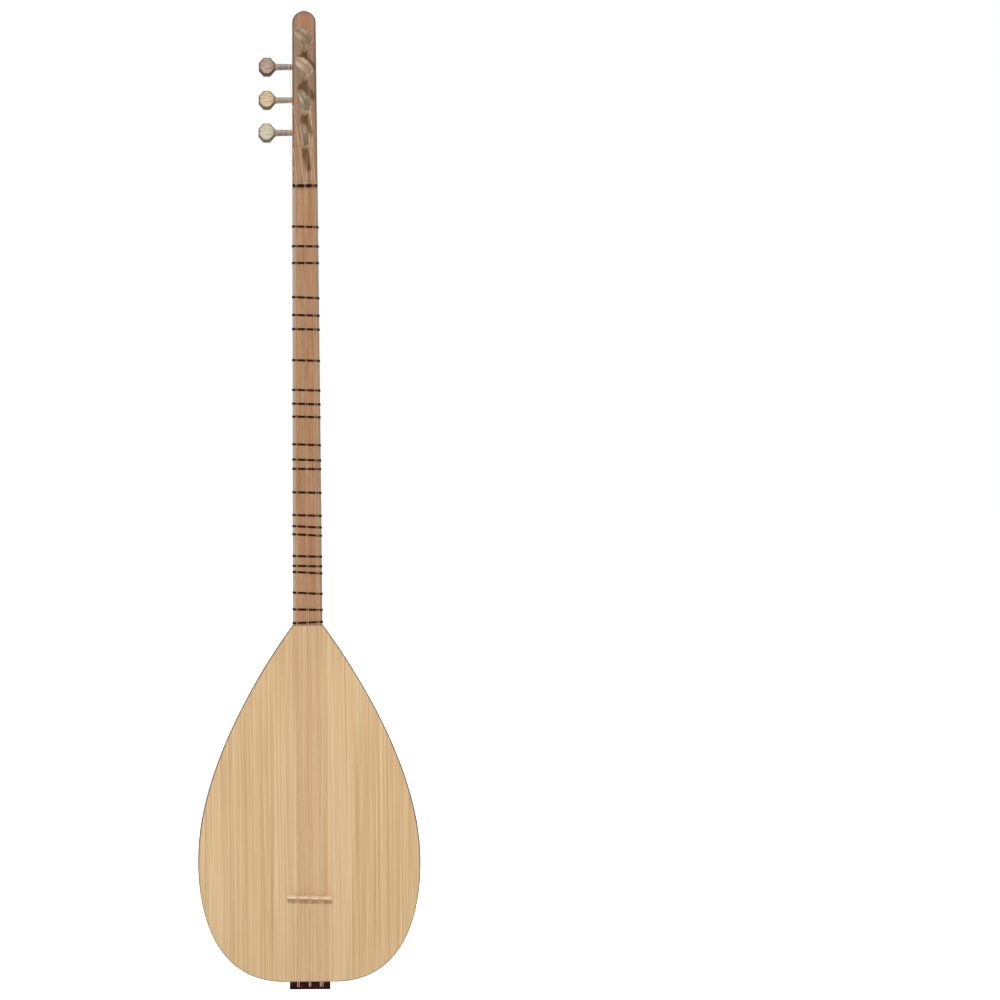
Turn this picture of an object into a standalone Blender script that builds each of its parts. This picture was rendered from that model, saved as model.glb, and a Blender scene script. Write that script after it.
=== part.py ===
"""Long-neck saz: carved bowl, flat soundboard, neck with tied frets, tilted head with seven pegs.

Metres. The soundboard's face lies in the plane y = 0 and looks towards -Y, the bowl swells towards +Y,
and the neck runs up along +Z. The origin is on the flat end face of the tailpiece, under the bowl.
"""

import math

import bmesh
import bpy
from mathutils import Matrix, Vector

# Clearances
GAP = 0.0003
PEG_CLEARANCE = 0.0003
TENON_CLEARANCE = 0.0003
SLIDE_CLEARANCE = 0.0003

# String length and pitch
SCALE_LENGTH = 0.825
BRIDGE_SETBACK = 0.0133
SEMITONES = 12
FRET_STEPS = (
    1.05, 1.57, 2.03, 3.02, 3.55, 3.98, 4.98, 5.99, 6.48, 6.95, 8.01, 8.62,
    8.99, 10.0, 11.04, 11.58, 11.98, 13.07, 13.59, 13.95, 15.13, 16.13, 16.96,
)
JOINT_STEP = 17
LAST_FRET_MARGIN = 0.002

# Bowl and soundboard
BRIDGE_TO_TAIL = 0.1007
JOINT_HALF_WIDTH = 0.0175
SHOULDER_REACH = 0.0962
SHOULDER_DROP = 0.1096
BELLY_HALF_WIDTH = 0.131
BELLY_HEIGHT = 0.140
FLANK_RISE = 0.075
HIP_DROP = 0.070
TAIL_REACH = 0.106
FOOT_HALF_WIDTH = 0.030
JOINT_DEPTH = 0.0275
SHOULDER_DEPTH = 0.104
BELLY_DEPTH = 0.152
TAIL_DEPTH = 0.150
RIM_TUCK_ANGLE = math.radians(8.5)
BOWL_WALL = 0.005
HEEL_LENGTH = 0.060
SOUNDBOARD_THICKNESS = 0.003
SOUNDBOARD_EDGE = 0.0006
SOUND_HOLE_RADIUS = 0.011
SOUND_HOLE_DEPTH = 0.050
BRACE_HEIGHT = 0.009
BRACE_THICKNESS = 0.007
BRACE_TAPER = 0.018
BRACE_END_MARGIN = 0.003
UPPER_BRACE_DROP = 0.120
LOWER_BRACE_DROP = 0.235

# Neck, fingerboard, nut
NECK_WIDTH_AT_JOINT = 0.035
NECK_WIDTH_AT_NUT = 0.030
NECK_DEPTH_AT_JOINT = 0.024
NECK_DEPTH_AT_NUT = 0.0195
NECK_EDGE_RADIUS = 0.0016
BACK_ROUNDNESS = 2.3
FINGERBOARD_THICKNESS = 0.003
TENON_WIDTH = 0.018
TENON_THICKNESS = 0.011
TENON_LENGTH = 0.035
NUT_THICKNESS = 0.0025
NUT_SHOULDER = 0.006
SCARF_ANGLE = math.radians(28)

# Head
HEAD_TILT = math.radians(14)
BEND_SPAN = 0.050
HEAD_WIDTH = 0.0285
HEAD_DEPTH = 0.0205
HEAD_END_MARGIN = 0.053
FIRST_FRONT_PEG = 0.179
SECOND_FRONT_PEG = 0.1398
THIRD_FRONT_PEG = 0.0944
FOURTH_FRONT_PEG = 0.050
FIRST_SIDE_PEG = 0.1613
SECOND_SIDE_PEG = 0.1167
THIRD_SIDE_PEG = 0.0734

# Pegs
PEG_RADIUS_AT_HEAD = 0.0033
PEG_RADIUS_AT_TIP = 0.0029
PEG_RADIUS_AT_COLLAR = 0.0037
PEG_STEM = 0.021
PEG_TIP_RECESS = 0.007
COLLAR_RADIUS = 0.0046
COLLAR_HEIGHT = 0.002
HANDLE_WIDTH = 0.0235
HANDLE_LENGTH = 0.0195
HANDLE_THICKNESS = 0.007
HANDLE_RIM = 0.0016
HANDLE_SINK = 0.001
SIDE_PEG_INSET = 0.0095
STRING_HOLE_RADIUS = 0.0007
FRONT_HANDLE_TURNS = (53, 50, 25, 10)
SIDE_HANDLE_TURN = 0

# Strings and windings
PLAIN_STRING_RADIUS = 0.00013
WOUND_STRING_RADIUS = 0.00022
WOUND_STRINGS = (0, 2, 4)
STRING_OVER_NUT = 0.0026
STRING_OVER_BRIDGE = 0.0081
STRING_PITCH_IN_COURSE = 0.0017
COURSE_SPREAD_AT_NUT = 0.0102
COURSE_SPREAD_AT_BRIDGE = 0.0136
COURSE_SPREAD_AT_TAIL = 0.0137
WINDING_START = 0.0045
WINDING_PITCH = 0.0017
WINDING_TURNS = 8
POINTS_PER_TURN = 9
EDGE_LIFT = 0.0004

# Bridge
BRIDGE_WIDTH = 0.0535
BRIDGE_FOOT_THICKNESS = 0.004
BRIDGE_TOP_THICKNESS = 0.0018
BRIDGE_ARCH_HEIGHT = 0.0036
BRIDGE_FOOT_LENGTH = 0.007
NOTCH_WIDTH = 0.0012
NOTCH_DEPTH = 0.0006

# Tailpiece
TAIL_WIDTH = 0.048
TAIL_HEIGHT = 0.0085
TAIL_FACE = 0.0012
TAIL_BACK = 0.018
TAIL_EDGE = 0.0008
TAIL_HOLE_HEIGHT = 0.003
TAIL_HOLE_RADIUS = 0.0007
TAIL_GROOVE_DEPTH = 0.0007

# Fret ties
TIE_RADIUS = 0.0005
TIE_WRAPS = 2
KNOT_WIDTH = 0.0028
KNOT_HEIGHT = 0.0016

# Facet counts
SMOOTH_ANGLE = math.radians(40)
BODY_STEPS = 12
BOWL_ARC_STEPS = 20
HOLLOW_STEPS = 16
PEG_SIDES = 16
NECK_BACK_STEPS = 11
CORNER_STEPS = 2
HEAD_END_STEPS = 5

# Places worked out from the sizes above
JOINT_TO_NUT = SCALE_LENGTH * (1 - 2 ** (-JOINT_STEP / SEMITONES)) + LAST_FRET_MARGIN
BODY_LENGTH = SCALE_LENGTH + BRIDGE_SETBACK - JOINT_TO_NUT + BRIDGE_TO_TAIL
BODY_FOOT_Z = TAIL_HEIGHT + GAP
JOINT_Z = BODY_FOOT_Z + BODY_LENGTH
NUT_Z = JOINT_Z + JOINT_TO_NUT
BRIDGE_Z = NUT_Z - SCALE_LENGTH - BRIDGE_SETBACK
BELLY_DROP = BODY_LENGTH - BELLY_HEIGHT
RIM_Y = SOUNDBOARD_THICKNESS + GAP
NUT_HEIGHT = STRING_OVER_NUT - WOUND_STRING_RADIUS - GAP + NOTCH_DEPTH
BRIDGE_HEIGHT = STRING_OVER_BRIDGE - WOUND_STRING_RADIUS - GAP + NOTCH_DEPTH
LEDGE_Z = NUT_Z + NUT_THICKNESS / 2 + GAP
FRONT_PEG_SPOTS = (FIRST_FRONT_PEG, SECOND_FRONT_PEG, THIRD_FRONT_PEG, FOURTH_FRONT_PEG)
SIDE_PEG_SPOTS = (FIRST_SIDE_PEG, SECOND_SIDE_PEG, THIRD_SIDE_PEG)
HEAD_LENGTH = FIRST_FRONT_PEG + HEAD_END_MARGIN
HEAD_UP = Vector((0, math.sin(HEAD_TILT), math.cos(HEAD_TILT)))
HEAD_OUT = Vector((0, -math.cos(HEAD_TILT), math.sin(HEAD_TILT)))
NUT_POINT = Vector((0, 0, NUT_Z))


def clear_scene():
    for item in list(bpy.data.objects):
        bpy.data.objects.remove(item, do_unlink=True)


def make_collection(name):
    collection = bpy.data.collections.new(name)
    bpy.context.scene.collection.children.link(collection)
    return collection


def make_material(name, color, roughness, metallic=0.0):
    material = bpy.data.materials.new(name)
    material.use_nodes = True
    shader = material.node_tree.nodes["Principled BSDF"]
    shader.inputs["Base Color"].default_value = (*color, 1)
    shader.inputs["Roughness"].default_value = roughness
    shader.inputs["Metallic"].default_value = metallic
    material.diffuse_color = (*color, 1)
    return material


clear_scene()
SAZ = make_collection("long_neck_saz")
CUTTERS = make_collection("cutters")
CUTTERS.hide_render = True

SPRUCE = make_material("spruce", (0.74, 0.56, 0.33), 0.6)
STAINED_WOOD = make_material("stained_wood", (0.16, 0.06, 0.02), 0.2)
NECK_WOOD = make_material("neck_wood", (0.62, 0.38, 0.18), 0.3)
FINGERBOARD_WOOD = make_material("fingerboard_wood", (0.50, 0.27, 0.14), 0.5)
BOXWOOD = make_material("boxwood", (0.75, 0.62, 0.40), 0.4)
BRIDGE_WOOD = make_material("bridge_wood", (0.80, 0.66, 0.50), 0.5)
DARK_WOOD = make_material("dark_wood", (0.05, 0.008, 0.006), 0.35)
BLACK_NUT = make_material("black_nut", (0.01, 0.01, 0.01), 0.3)
TIE_LINE = make_material("tie_line", (0.05, 0.025, 0.015), 0.35)
STEEL = make_material("string_steel", (0.6, 0.6, 0.6), 0.3, 1.0)


def add_object(name, data, material=None, collection=SAZ):
    item = bpy.data.objects.new(name, data)
    collection.objects.link(item)
    if material:
        data.materials.append(material)
    if collection is CUTTERS:
        item.hide_render = True
        item.display_type = "WIRE"
    return item


def mesh_from(name, bm, smooth_angle=None):
    bmesh.ops.recalc_face_normals(bm, faces=bm.faces)
    mesh = bpy.data.meshes.new(name)
    bm.to_mesh(mesh)
    bm.free()
    if smooth_angle:
        mesh.shade_smooth()
        mesh.set_sharp_from_angle(angle=smooth_angle)
    return mesh


def add_box(name, low, high, material=None, collection=SAZ):
    bm = bmesh.new()
    bmesh.ops.create_cube(bm, size=1)
    low, high = Vector(low), Vector(high)
    size = high - low
    for vert in bm.verts:
        vert.co = Vector(low[i] + (vert.co[i] + 0.5) * size[i] for i in range(3))
    return add_object(name, mesh_from(name, bm), material, collection)


def add_cone(name, base, direction, radius, end_radius, length, sides, collection=CUTTERS):
    """A round bar or taper from base along direction."""
    bm = bmesh.new()
    turn = Vector((0, 0, 1)).rotation_difference(Vector(direction)).to_matrix().to_4x4()
    half_side = Matrix.Rotation(math.pi / sides, 4, "Z")
    place = Matrix.Translation(base) @ turn @ half_side @ Matrix.Translation((0, 0, length / 2))
    bmesh.ops.create_cone(
        bm, cap_ends=True, segments=sides, radius1=radius, radius2=end_radius, depth=length, matrix=place
    )
    return add_object(name, mesh_from(name, bm), None, collection)


def add_loft(name, rings, material=None, collection=SAZ, closed=False, triangles=False):
    """A skin over rings that all have the same number of points, capped at both ends or joined up.

    Cut surfaces are made of triangles, because a Boolean needs flat faces.
    """
    bm = bmesh.new()
    rows = [[bm.verts.new(point) for point in ring] for ring in rings]
    count = len(rows[0])
    pairs = list(zip(rows, rows[1:]))
    if closed:
        pairs.append((rows[-1], rows[0]))
    else:
        bm.faces.new(rows[0])
        bm.faces.new(rows[-1])
    for lower, upper in pairs:
        for i in range(count):
            j = (i + 1) % count
            bm.faces.new((lower[i], lower[j], upper[j], upper[i]))
    if triangles:
        bmesh.ops.triangulate(bm, faces=bm.faces)
    return add_object(name, mesh_from(name, bm, SMOOTH_ANGLE), material, collection)


def cut(item, cutter, operation="DIFFERENCE"):
    modifier = item.modifiers.new(cutter.name, "BOOLEAN")
    modifier.object = cutter
    modifier.operation = operation


def soften(item, width, angle=math.radians(50)):
    modifier = item.modifiers.new("Edge", "BEVEL")
    modifier.width = width
    modifier.segments = 1
    modifier.limit_method = "ANGLE"
    modifier.angle_limit = angle


def split_by_plane(bm, point, normal):
    """Keeps the side that the normal points away from, and closes the cut."""
    geometry = list(bm.verts) + list(bm.edges) + list(bm.faces)
    cut_result = bmesh.ops.bisect_plane(
        bm, geom=geometry, plane_co=point, plane_no=normal, clear_outer=True, dist=1e-7
    )
    rim = [part for part in cut_result["geom_cut"] if isinstance(part, bmesh.types.BMEdge)]
    bmesh.ops.contextual_create(bm, geom=rim)


def bezier(a, b, c, d, t):
    u = 1 - t
    return a * u**3 + 3 * b * u * u * t + 3 * c * u * t * t + d * t**3


class BodyForm:
    """The pear shape, drawn in by an inset: half width, depth and drop below the neck joint."""

    def __init__(self, inset=0.0):
        self.widths = (
            (JOINT_HALF_WIDTH - inset, SHOULDER_REACH - inset, BELLY_HALF_WIDTH - inset, BELLY_HALF_WIDTH - inset),
            (BELLY_HALF_WIDTH - inset, BELLY_HALF_WIDTH - inset, TAIL_REACH - inset, FOOT_HALF_WIDTH - inset),
        )
        self.depths = (
            (JOINT_DEPTH - inset, SHOULDER_DEPTH - inset, BELLY_DEPTH - inset, BELLY_DEPTH - inset),
            (BELLY_DEPTH - inset, BELLY_DEPTH - inset, TAIL_DEPTH - inset / 2, 0.0),
        )
        foot = BODY_LENGTH - inset
        self.drops = (
            (0.0, SHOULDER_DROP, BELLY_DROP - FLANK_RISE, BELLY_DROP),
            (BELLY_DROP, BELLY_DROP + HIP_DROP - inset, foot, foot),
        )

    def at(self, t):
        """Half width, depth and drop for t from 0 at the neck, through 1 at the belly, to 2 at the tail."""
        part = 0 if t <= 1 else 1
        u = t - part
        return (
            bezier(*self.widths[part], u),
            bezier(*self.depths[part], u),
            bezier(*self.drops[part], u),
        )

    def t_at_drop(self, drop):
        low, high = 0.0, 1.0
        for _ in range(40):
            middle = (low + high) / 2
            if self.at(middle)[2] < drop:
                low = middle
            else:
                high = middle
        return low

    def ring(self, t, front_y, steps):
        """The section at t: an arc with its widest line behind the rim, closed by a straight front."""
        half_width, depth, drop = self.at(t)
        tuck = math.sin(RIM_TUCK_ANGLE)
        start = math.asin(max(-0.95, min(0.95, front_y * (1 + tuck) / depth - tuck)))
        points = []
        for i in range(steps + 1):
            angle = start + (math.pi - 2 * start) * i / steps
            x = half_width * math.cos(angle) / math.cos(RIM_TUCK_ANGLE)
            y = depth * (math.sin(angle) + tuck) / (1 + tuck)
            points.append(Vector((x, y, JOINT_Z - drop)))
        return points


BODY = BodyForm()
HOLLOW = BodyForm(BOWL_WALL)


def hollow_half_width(drop, depth):
    """Half width of the hollow at a drop below the joint and a depth behind the face, above the belly."""
    half_width, full_depth, _ = HOLLOW.at(HOLLOW.t_at_drop(drop))
    tuck = math.sin(RIM_TUCK_ANGLE)
    rise = depth * (1 + tuck) / full_depth - tuck
    return half_width * math.sqrt(1 - rise * rise) / math.cos(RIM_TUCK_ANGLE)


def make_bowl():
    tail_t = 1.98
    stations = [i / BODY_STEPS for i in range(2 * BODY_STEPS)] + [tail_t]
    rings = [BODY.ring(t, RIM_Y, BOWL_ARC_STEPS) for t in stations]
    bowl = add_loft("bowl", rings, STAINED_WOOD, triangles=True)

    heel_t = HOLLOW.t_at_drop(HEEL_LENGTH)
    inner_stations = [heel_t + (tail_t - heel_t) * i / HOLLOW_STEPS for i in range(HOLLOW_STEPS + 1)]
    front = -GAP
    inner_rings = [HOLLOW.ring(t, front, HOLLOW_STEPS) for t in inner_stations]
    hollow = add_loft("bowl_hollow", inner_rings, None, CUTTERS, triangles=True)
    cut(bowl, hollow)

    room = TENON_CLEARANCE
    mortise = add_box(
        "tenon_mortise",
        (-TENON_WIDTH / 2 - room, tenon_front() - room, JOINT_Z - TENON_LENGTH - room),
        (TENON_WIDTH / 2 + room, tenon_front() + TENON_THICKNESS + room, JOINT_Z + TENON_LENGTH),
        None,
        CUTTERS,
    )
    cut(bowl, mortise)

    hole = add_cone(
        "sound_hole_cutter",
        (0, SOUND_HOLE_DEPTH, 0),
        (0, 0, 1),
        SOUND_HOLE_RADIUS,
        SOUND_HOLE_RADIUS,
        BODY_FOOT_Z + 8 * BOWL_WALL,
        PEG_SIDES,
    )
    cut(bowl, hole)
    return bowl


def make_soundboard():
    """A flat plate with the body's outline, drawn as one curve and given its thickness."""
    curve = bpy.data.curves.new("soundboard", "CURVE")
    curve.dimensions = "2D"
    curve.fill_mode = "BOTH"
    curve.extrude = SOUNDBOARD_THICKNESS / 2
    curve.resolution_u = BODY_STEPS
    spline = curve.splines.new("BEZIER")
    spline.use_cyclic_u = True
    spline.bezier_points.add(5)
    (w0, w1, w2, w3), (_, w5, w6, w7) = BODY.widths
    (d0, d1, d2, d3), (_, d5, d6, d7) = BODY.drops
    right = (
        ((w0, d0), (w0 / 3, d0), (w1, d1)),
        ((w3, d3), (w2, d2), (w5, d5)),
        ((w7, d7), (w6, d6), (w7 / 3, d7)),
    )
    left = tuple(tuple((-x, d) for x, d in (co, after, before)) for co, before, after in reversed(right))
    for point, (co, before, after) in zip(spline.bezier_points, right + left):
        point.co = (co[0], JOINT_Z - co[1], 0)
        point.handle_left = (before[0], JOINT_Z - before[1], 0)
        point.handle_right = (after[0], JOINT_Z - after[1], 0)
    board = add_object("soundboard", curve, SPRUCE)
    board.rotation_euler.x = math.pi / 2
    board.location.y = SOUNDBOARD_THICKNESS / 2
    weld = board.modifiers.new("Weld", "WELD")
    weld.merge_threshold = 0.00001
    soften(board, SOUNDBOARD_EDGE)
    return board


def make_brace(name, drop):
    """A bar across the underside of the soundboard, thinned towards its ends."""
    half = hollow_half_width(drop, RIM_Y + BRACE_HEIGHT) - BRACE_END_MARGIN
    z = JOINT_Z - drop
    brace = add_box(
        name,
        (-half, RIM_Y, z - BRACE_THICKNESS / 2),
        (half, RIM_Y + BRACE_HEIGHT, z + BRACE_THICKNESS / 2),
        SPRUCE,
    )
    for vert in brace.data.vertices:
        if vert.co.y > RIM_Y + GAP:
            vert.co.x -= math.copysign(BRACE_TAPER, vert.co.x)
    soften(brace, BRACE_THICKNESS / 8)
    return brace


def smooth(x):
    x = max(0.0, min(1.0, x))
    return x * x * (3 - 2 * x)


class StickSection:
    """The neck and head at a distance from the nut, minus towards the body and plus up the head."""

    def __init__(self, distance):
        self.distance = distance
        if distance <= 0:
            share = -distance / JOINT_TO_NUT
            self.half_width = (NECK_WIDTH_AT_NUT + (NECK_WIDTH_AT_JOINT - NECK_WIDTH_AT_NUT) * share) / 2
            self.depth = NECK_DEPTH_AT_NUT + (NECK_DEPTH_AT_JOINT - NECK_DEPTH_AT_NUT) * share
            self.front = NUT_POINT + Vector((0, 0, distance))
        else:
            share = distance / HEAD_LENGTH
            self.half_width = (NECK_WIDTH_AT_NUT + (HEAD_WIDTH - NECK_WIDTH_AT_NUT) * share) / 2
            self.depth = NECK_DEPTH_AT_NUT + (HEAD_DEPTH - NECK_DEPTH_AT_NUT) * share
            self.front = NUT_POINT + HEAD_UP * distance
        end_radius = HEAD_WIDTH / 2
        beyond = (distance - HEAD_LENGTH + end_radius) / end_radius
        if beyond > 0:
            fall = math.sqrt(max(0.0, 1 - beyond * beyond))
            self.half_width = end_radius * fall
            self.depth = HEAD_DEPTH * math.sqrt(fall)
        bend = HEAD_TILT * smooth((distance + BEND_SPAN) / (2 * BEND_SPAN))
        self.inward = Vector((0, math.cos(bend), -math.sin(bend)))

    def outline(self):
        """Points round the section: flat front with eased edges, round back."""
        edge = min(NECK_EDGE_RADIUS, self.half_width / 2, self.depth / 3)
        flat = self.half_width - edge
        corner = []
        for i in range(CORNER_STEPS + 1):
            angle = math.pi / 2 * i / CORNER_STEPS
            corner.append((flat + edge * math.sin(angle), edge * (1 - math.cos(angle))))
        back = []
        for i in range(1, NECK_BACK_STEPS):
            angle = math.pi * i / NECK_BACK_STEPS
            across = abs(math.cos(angle)) ** (2 / BACK_ROUNDNESS)
            deep = math.sin(angle) ** (2 / BACK_ROUNDNESS)
            x = math.copysign(self.half_width * across, math.cos(angle))
            back.append((x, edge + (self.depth - edge) * deep))
        return corner + back + [(-x, y) for x, y in reversed(corner)]

    def ring(self):
        return [self.front + Vector((x, 0, 0)) + self.inward * y for x, y in self.outline()]


def stick_stations():
    """Distances from the nut where the neck and head get a section."""
    half_steps = 4
    bend = [BEND_SPAN * i / half_steps for i in range(-half_steps, half_steps + 1)]
    end_radius = HEAD_WIDTH / 2
    last = math.radians(80)
    tip = [math.sin(last * i / HEAD_END_STEPS) for i in range(HEAD_END_STEPS + 1)]
    return [GAP - JOINT_TO_NUT] + bend + [HEAD_LENGTH - end_radius + end_radius * share for share in tip]


def tenon_front():
    return RIM_Y + (NECK_DEPTH_AT_JOINT - RIM_Y - TENON_THICKNESS) / 2


def scarf_plane():
    """A point on the glued joint between neck and head, and its normal towards the head."""
    point = NUT_POINT + HEAD_UP * NUT_SHOULDER
    normal = Vector((0, math.cos(SCARF_ANGLE), math.sin(SCARF_ANGLE)))
    return point, normal


def stick_bmesh():
    rings = [StickSection(s).ring() for s in stick_stations()]
    source = add_loft("stick", rings, None, CUTTERS, triangles=True)
    bm = bmesh.new()
    bm.from_mesh(source.data)
    bpy.data.objects.remove(source)
    return bm


def finger_slab(name, top_z):
    """The block of space in front of the neck's own wood, up to a height."""
    low = (-NECK_WIDTH_AT_JOINT, -FINGERBOARD_THICKNESS, JOINT_Z - TENON_LENGTH)
    high = (NECK_WIDTH_AT_JOINT, RIM_Y, top_z)
    return add_box(name, low, high, None, CUTTERS)


def make_neck():
    bm = stick_bmesh()
    point, normal = scarf_plane()
    split_by_plane(bm, point - normal * GAP / 2, normal)
    neck = add_object("neck", mesh_from("neck", bm, SMOOTH_ANGLE), NECK_WOOD)
    cut(neck, finger_slab("fingerboard_seat", LEDGE_Z))
    tenon = add_box(
        "neck_tenon",
        (-TENON_WIDTH / 2, tenon_front(), JOINT_Z - TENON_LENGTH),
        (TENON_WIDTH / 2, tenon_front() + TENON_THICKNESS, JOINT_Z + TENON_THICKNESS),
        None,
        CUTTERS,
    )
    cut(neck, tenon, "UNION")
    return neck


def make_fingerboard():
    end = NUT_Z - NUT_THICKNESS / 2 - GAP
    rings = []
    for z in (JOINT_Z + GAP, end):
        section = StickSection(z - NUT_Z)
        edge_points = [p for p in section.outline() if p[1] <= NECK_EDGE_RADIUS + 1e-9]
        half = len(edge_points) // 2
        bottom = [(section.half_width, FINGERBOARD_THICKNESS), (-section.half_width, FINGERBOARD_THICKNESS)]
        outline = edge_points[:half] + bottom + edge_points[half:]
        rings.append([Vector((x, y, z)) for x, y in outline])
    return add_loft("fingerboard", rings, FINGERBOARD_WOOD)


def make_head():
    bm = stick_bmesh()
    point, normal = scarf_plane()
    split_by_plane(bm, point + normal * GAP / 2, -normal)
    head = add_object("head", mesh_from("head", bm, SMOOTH_ANGLE), NECK_WOOD)
    for number, distance in enumerate(FRONT_PEG_SPOTS, 1):
        seat = front_peg_seat(distance, number)
        cut(head, peg_hole(f"front_peg_hole_{number}", seat))
    for number, distance in enumerate(SIDE_PEG_SPOTS, 1):
        seat = side_peg_seat(distance)
        cut(head, peg_hole(f"side_peg_hole_{number}", seat))
    return head


def add_notches(name, item, top_y, z, xs):
    """String notches, open at the front, in a piece whose top lies at top_y."""
    reach = BRIDGE_FOOT_THICKNESS
    for number, x in enumerate(xs, 1):
        slot = add_box(
            f"{name}_{number}",
            (x - NOTCH_WIDTH / 2, top_y - NOTCH_DEPTH, z - reach),
            (x + NOTCH_WIDTH / 2, top_y + NOTCH_DEPTH, z + reach),
            None,
            CUTTERS,
        )
        cut(item, slot)


def make_nut():
    half = NECK_WIDTH_AT_NUT / 2
    nut = add_box(
        "nut",
        (-half, -NUT_HEIGHT, NUT_Z - NUT_THICKNESS / 2),
        (half, FINGERBOARD_THICKNESS, NUT_Z + NUT_THICKNESS / 2),
        BLACK_NUT,
    )
    soften(nut, NUT_THICKNESS / 6)
    add_notches("nut_notch", nut, -NUT_HEIGHT, NUT_Z, string_xs(COURSE_SPREAD_AT_NUT))
    return nut


def make_bridge():
    """A thin plank on three feet, thicker at the soundboard than at the strings."""
    bridge = add_box(
        "bridge",
        (-BRIDGE_WIDTH / 2, -BRIDGE_HEIGHT, -BRIDGE_FOOT_THICKNESS / 2),
        (BRIDGE_WIDTH / 2, -SLIDE_CLEARANCE, BRIDGE_FOOT_THICKNESS / 2),
        BRIDGE_WOOD,
    )
    for vert in bridge.data.vertices:
        if vert.co.y < -BRIDGE_HEIGHT / 2:
            vert.co.z = math.copysign(BRIDGE_TOP_THICKNESS / 2, vert.co.z)
    bridge.location.z = BRIDGE_Z
    arch_half = (BRIDGE_WIDTH - 3 * BRIDGE_FOOT_LENGTH) / 4
    for side in (-1, 1):
        centre = side * (BRIDGE_FOOT_LENGTH / 2 + arch_half)
        arch = add_cone(
            "bridge_arch_left" if side < 0 else "bridge_arch_right",
            (0, 0, 0),
            (0, 0, 1),
            arch_half,
            arch_half,
            3 * BRIDGE_FOOT_THICKNESS,
            PEG_SIDES,
        )
        arch.location = (centre, 0, BRIDGE_Z - 1.5 * BRIDGE_FOOT_THICKNESS)
        arch.scale.y = BRIDGE_ARCH_HEIGHT / arch_half
        cut(bridge, arch)
    add_notches("bridge_notch", bridge, -BRIDGE_HEIGHT, BRIDGE_Z, string_xs(COURSE_SPREAD_AT_BRIDGE))
    return bridge


def make_tailpiece():
    """A hardwood block under the soundboard's foot, with a groove and a hole for each string."""
    block = add_box(
        "tailpiece", (-TAIL_WIDTH / 2, -TAIL_FACE, 0), (TAIL_WIDTH / 2, TAIL_BACK, TAIL_HEIGHT), DARK_WOOD
    )
    soften(block, TAIL_EDGE)
    for number, x in enumerate(string_xs(COURSE_SPREAD_AT_TAIL), 1):
        hole = add_cone(
            f"tail_hole_{number}",
            (x, -2 * TAIL_FACE, TAIL_HOLE_HEIGHT),
            (0, 1, 0),
            TAIL_HOLE_RADIUS,
            TAIL_HOLE_RADIUS,
            TAIL_BACK + 4 * TAIL_FACE,
            8,
        )
        groove = add_box(
            f"tail_groove_{number}",
            (x - TAIL_HOLE_RADIUS * 0.8, -2 * TAIL_FACE, TAIL_HOLE_HEIGHT),
            (x + TAIL_HOLE_RADIUS * 0.8, TAIL_GROOVE_DEPTH - TAIL_FACE, 2 * TAIL_HEIGHT),
            None,
            CUTTERS,
        )
        cut(block, hole)
        cut(block, groove)
    return block


def fret_distances():
    """Distance from the nut of each tied fret that fits on the neck."""
    band = TIE_WRAPS * TIE_RADIUS
    distances = [SCALE_LENGTH * (1 - 2 ** (-step / SEMITONES)) for step in FRET_STEPS]
    return [distance for distance in distances if distance + band + GAP < JOINT_TO_NUT]


def offset_outline(points, distance):
    """The outline moved outwards by a distance, with its corners kept."""
    moved = []
    count = len(points)
    for i, (x, y) in enumerate(points):
        before = Vector(points[i - 1])
        here = Vector((x, y))
        after = Vector(points[(i + 1) % count])
        first = (here - before).normalized()
        second = (after - here).normalized()
        normal = Vector((first.y + second.y, -first.x - second.x)).normalized()
        reach = distance / max(0.5, normal.dot(Vector((first.y, -first.x))))
        moved.append(here + normal * reach)
    return moved


def make_fret(name, distance):
    """A cord tied twice round the neck, with its knot at the middle of the back."""
    outline = StickSection(-distance).outline()
    z = NUT_Z - distance
    profile = []
    for wrap in range(TIE_WRAPS):
        centre = (2 * wrap + 1 - TIE_WRAPS) * TIE_RADIUS
        profile.append((SLIDE_CLEARANCE, centre - TIE_RADIUS))
        profile.append((SLIDE_CLEARANCE + 1.8 * TIE_RADIUS, centre))
    profile.append((SLIDE_CLEARANCE, TIE_WRAPS * TIE_RADIUS))
    loops = []
    for lift, height in profile:
        loops.append([Vector((p.x, p.y, height)) for p in offset_outline(outline, lift)])
    fret = add_loft(name, loops, TIE_LINE, closed=True)
    fret.location.z = z

    back = StickSection(-distance).depth + SLIDE_CLEARANCE
    knot = add_box(
        f"{name}_knot",
        (-KNOT_WIDTH / 2, back + TIE_RADIUS, -TIE_RADIUS * 0.8),
        (KNOT_WIDTH / 2, back + KNOT_HEIGHT, TIE_RADIUS * 0.8),
        None,
        CUTTERS,
    )
    knot.location.z = z
    cut(fret, knot, "UNION")
    return fret


class PegSeat:
    """Where a peg stands: its place on the head, its axis outwards, and how far it goes in."""

    def __init__(self, place, outward, upward, bore, handle_turn):
        self.place = place
        self.outward = outward
        self.upward = upward
        self.bore = bore
        self.handle_turn = math.radians(handle_turn)

    def matrix(self):
        """Local Z runs out along the peg, local X up the head."""
        side = self.outward.cross(self.upward)
        columns = Matrix((self.upward, side, self.outward)).transposed()
        return Matrix.Translation(self.place) @ columns.to_4x4()


def front_peg_seat(distance, number):
    place = StickSection(distance).front
    turn = FRONT_HANDLE_TURNS[number - 1]
    return PegSeat(place, HEAD_OUT, HEAD_UP, StickSection(distance).depth, turn)


def side_peg_seat(distance):
    section = StickSection(distance)
    place = section.front - HEAD_OUT * SIDE_PEG_INSET - Vector((section.half_width, 0, 0))
    return PegSeat(place, Vector((-1, 0, 0)), HEAD_UP, 2 * section.half_width, SIDE_HANDLE_TURN)


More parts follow.
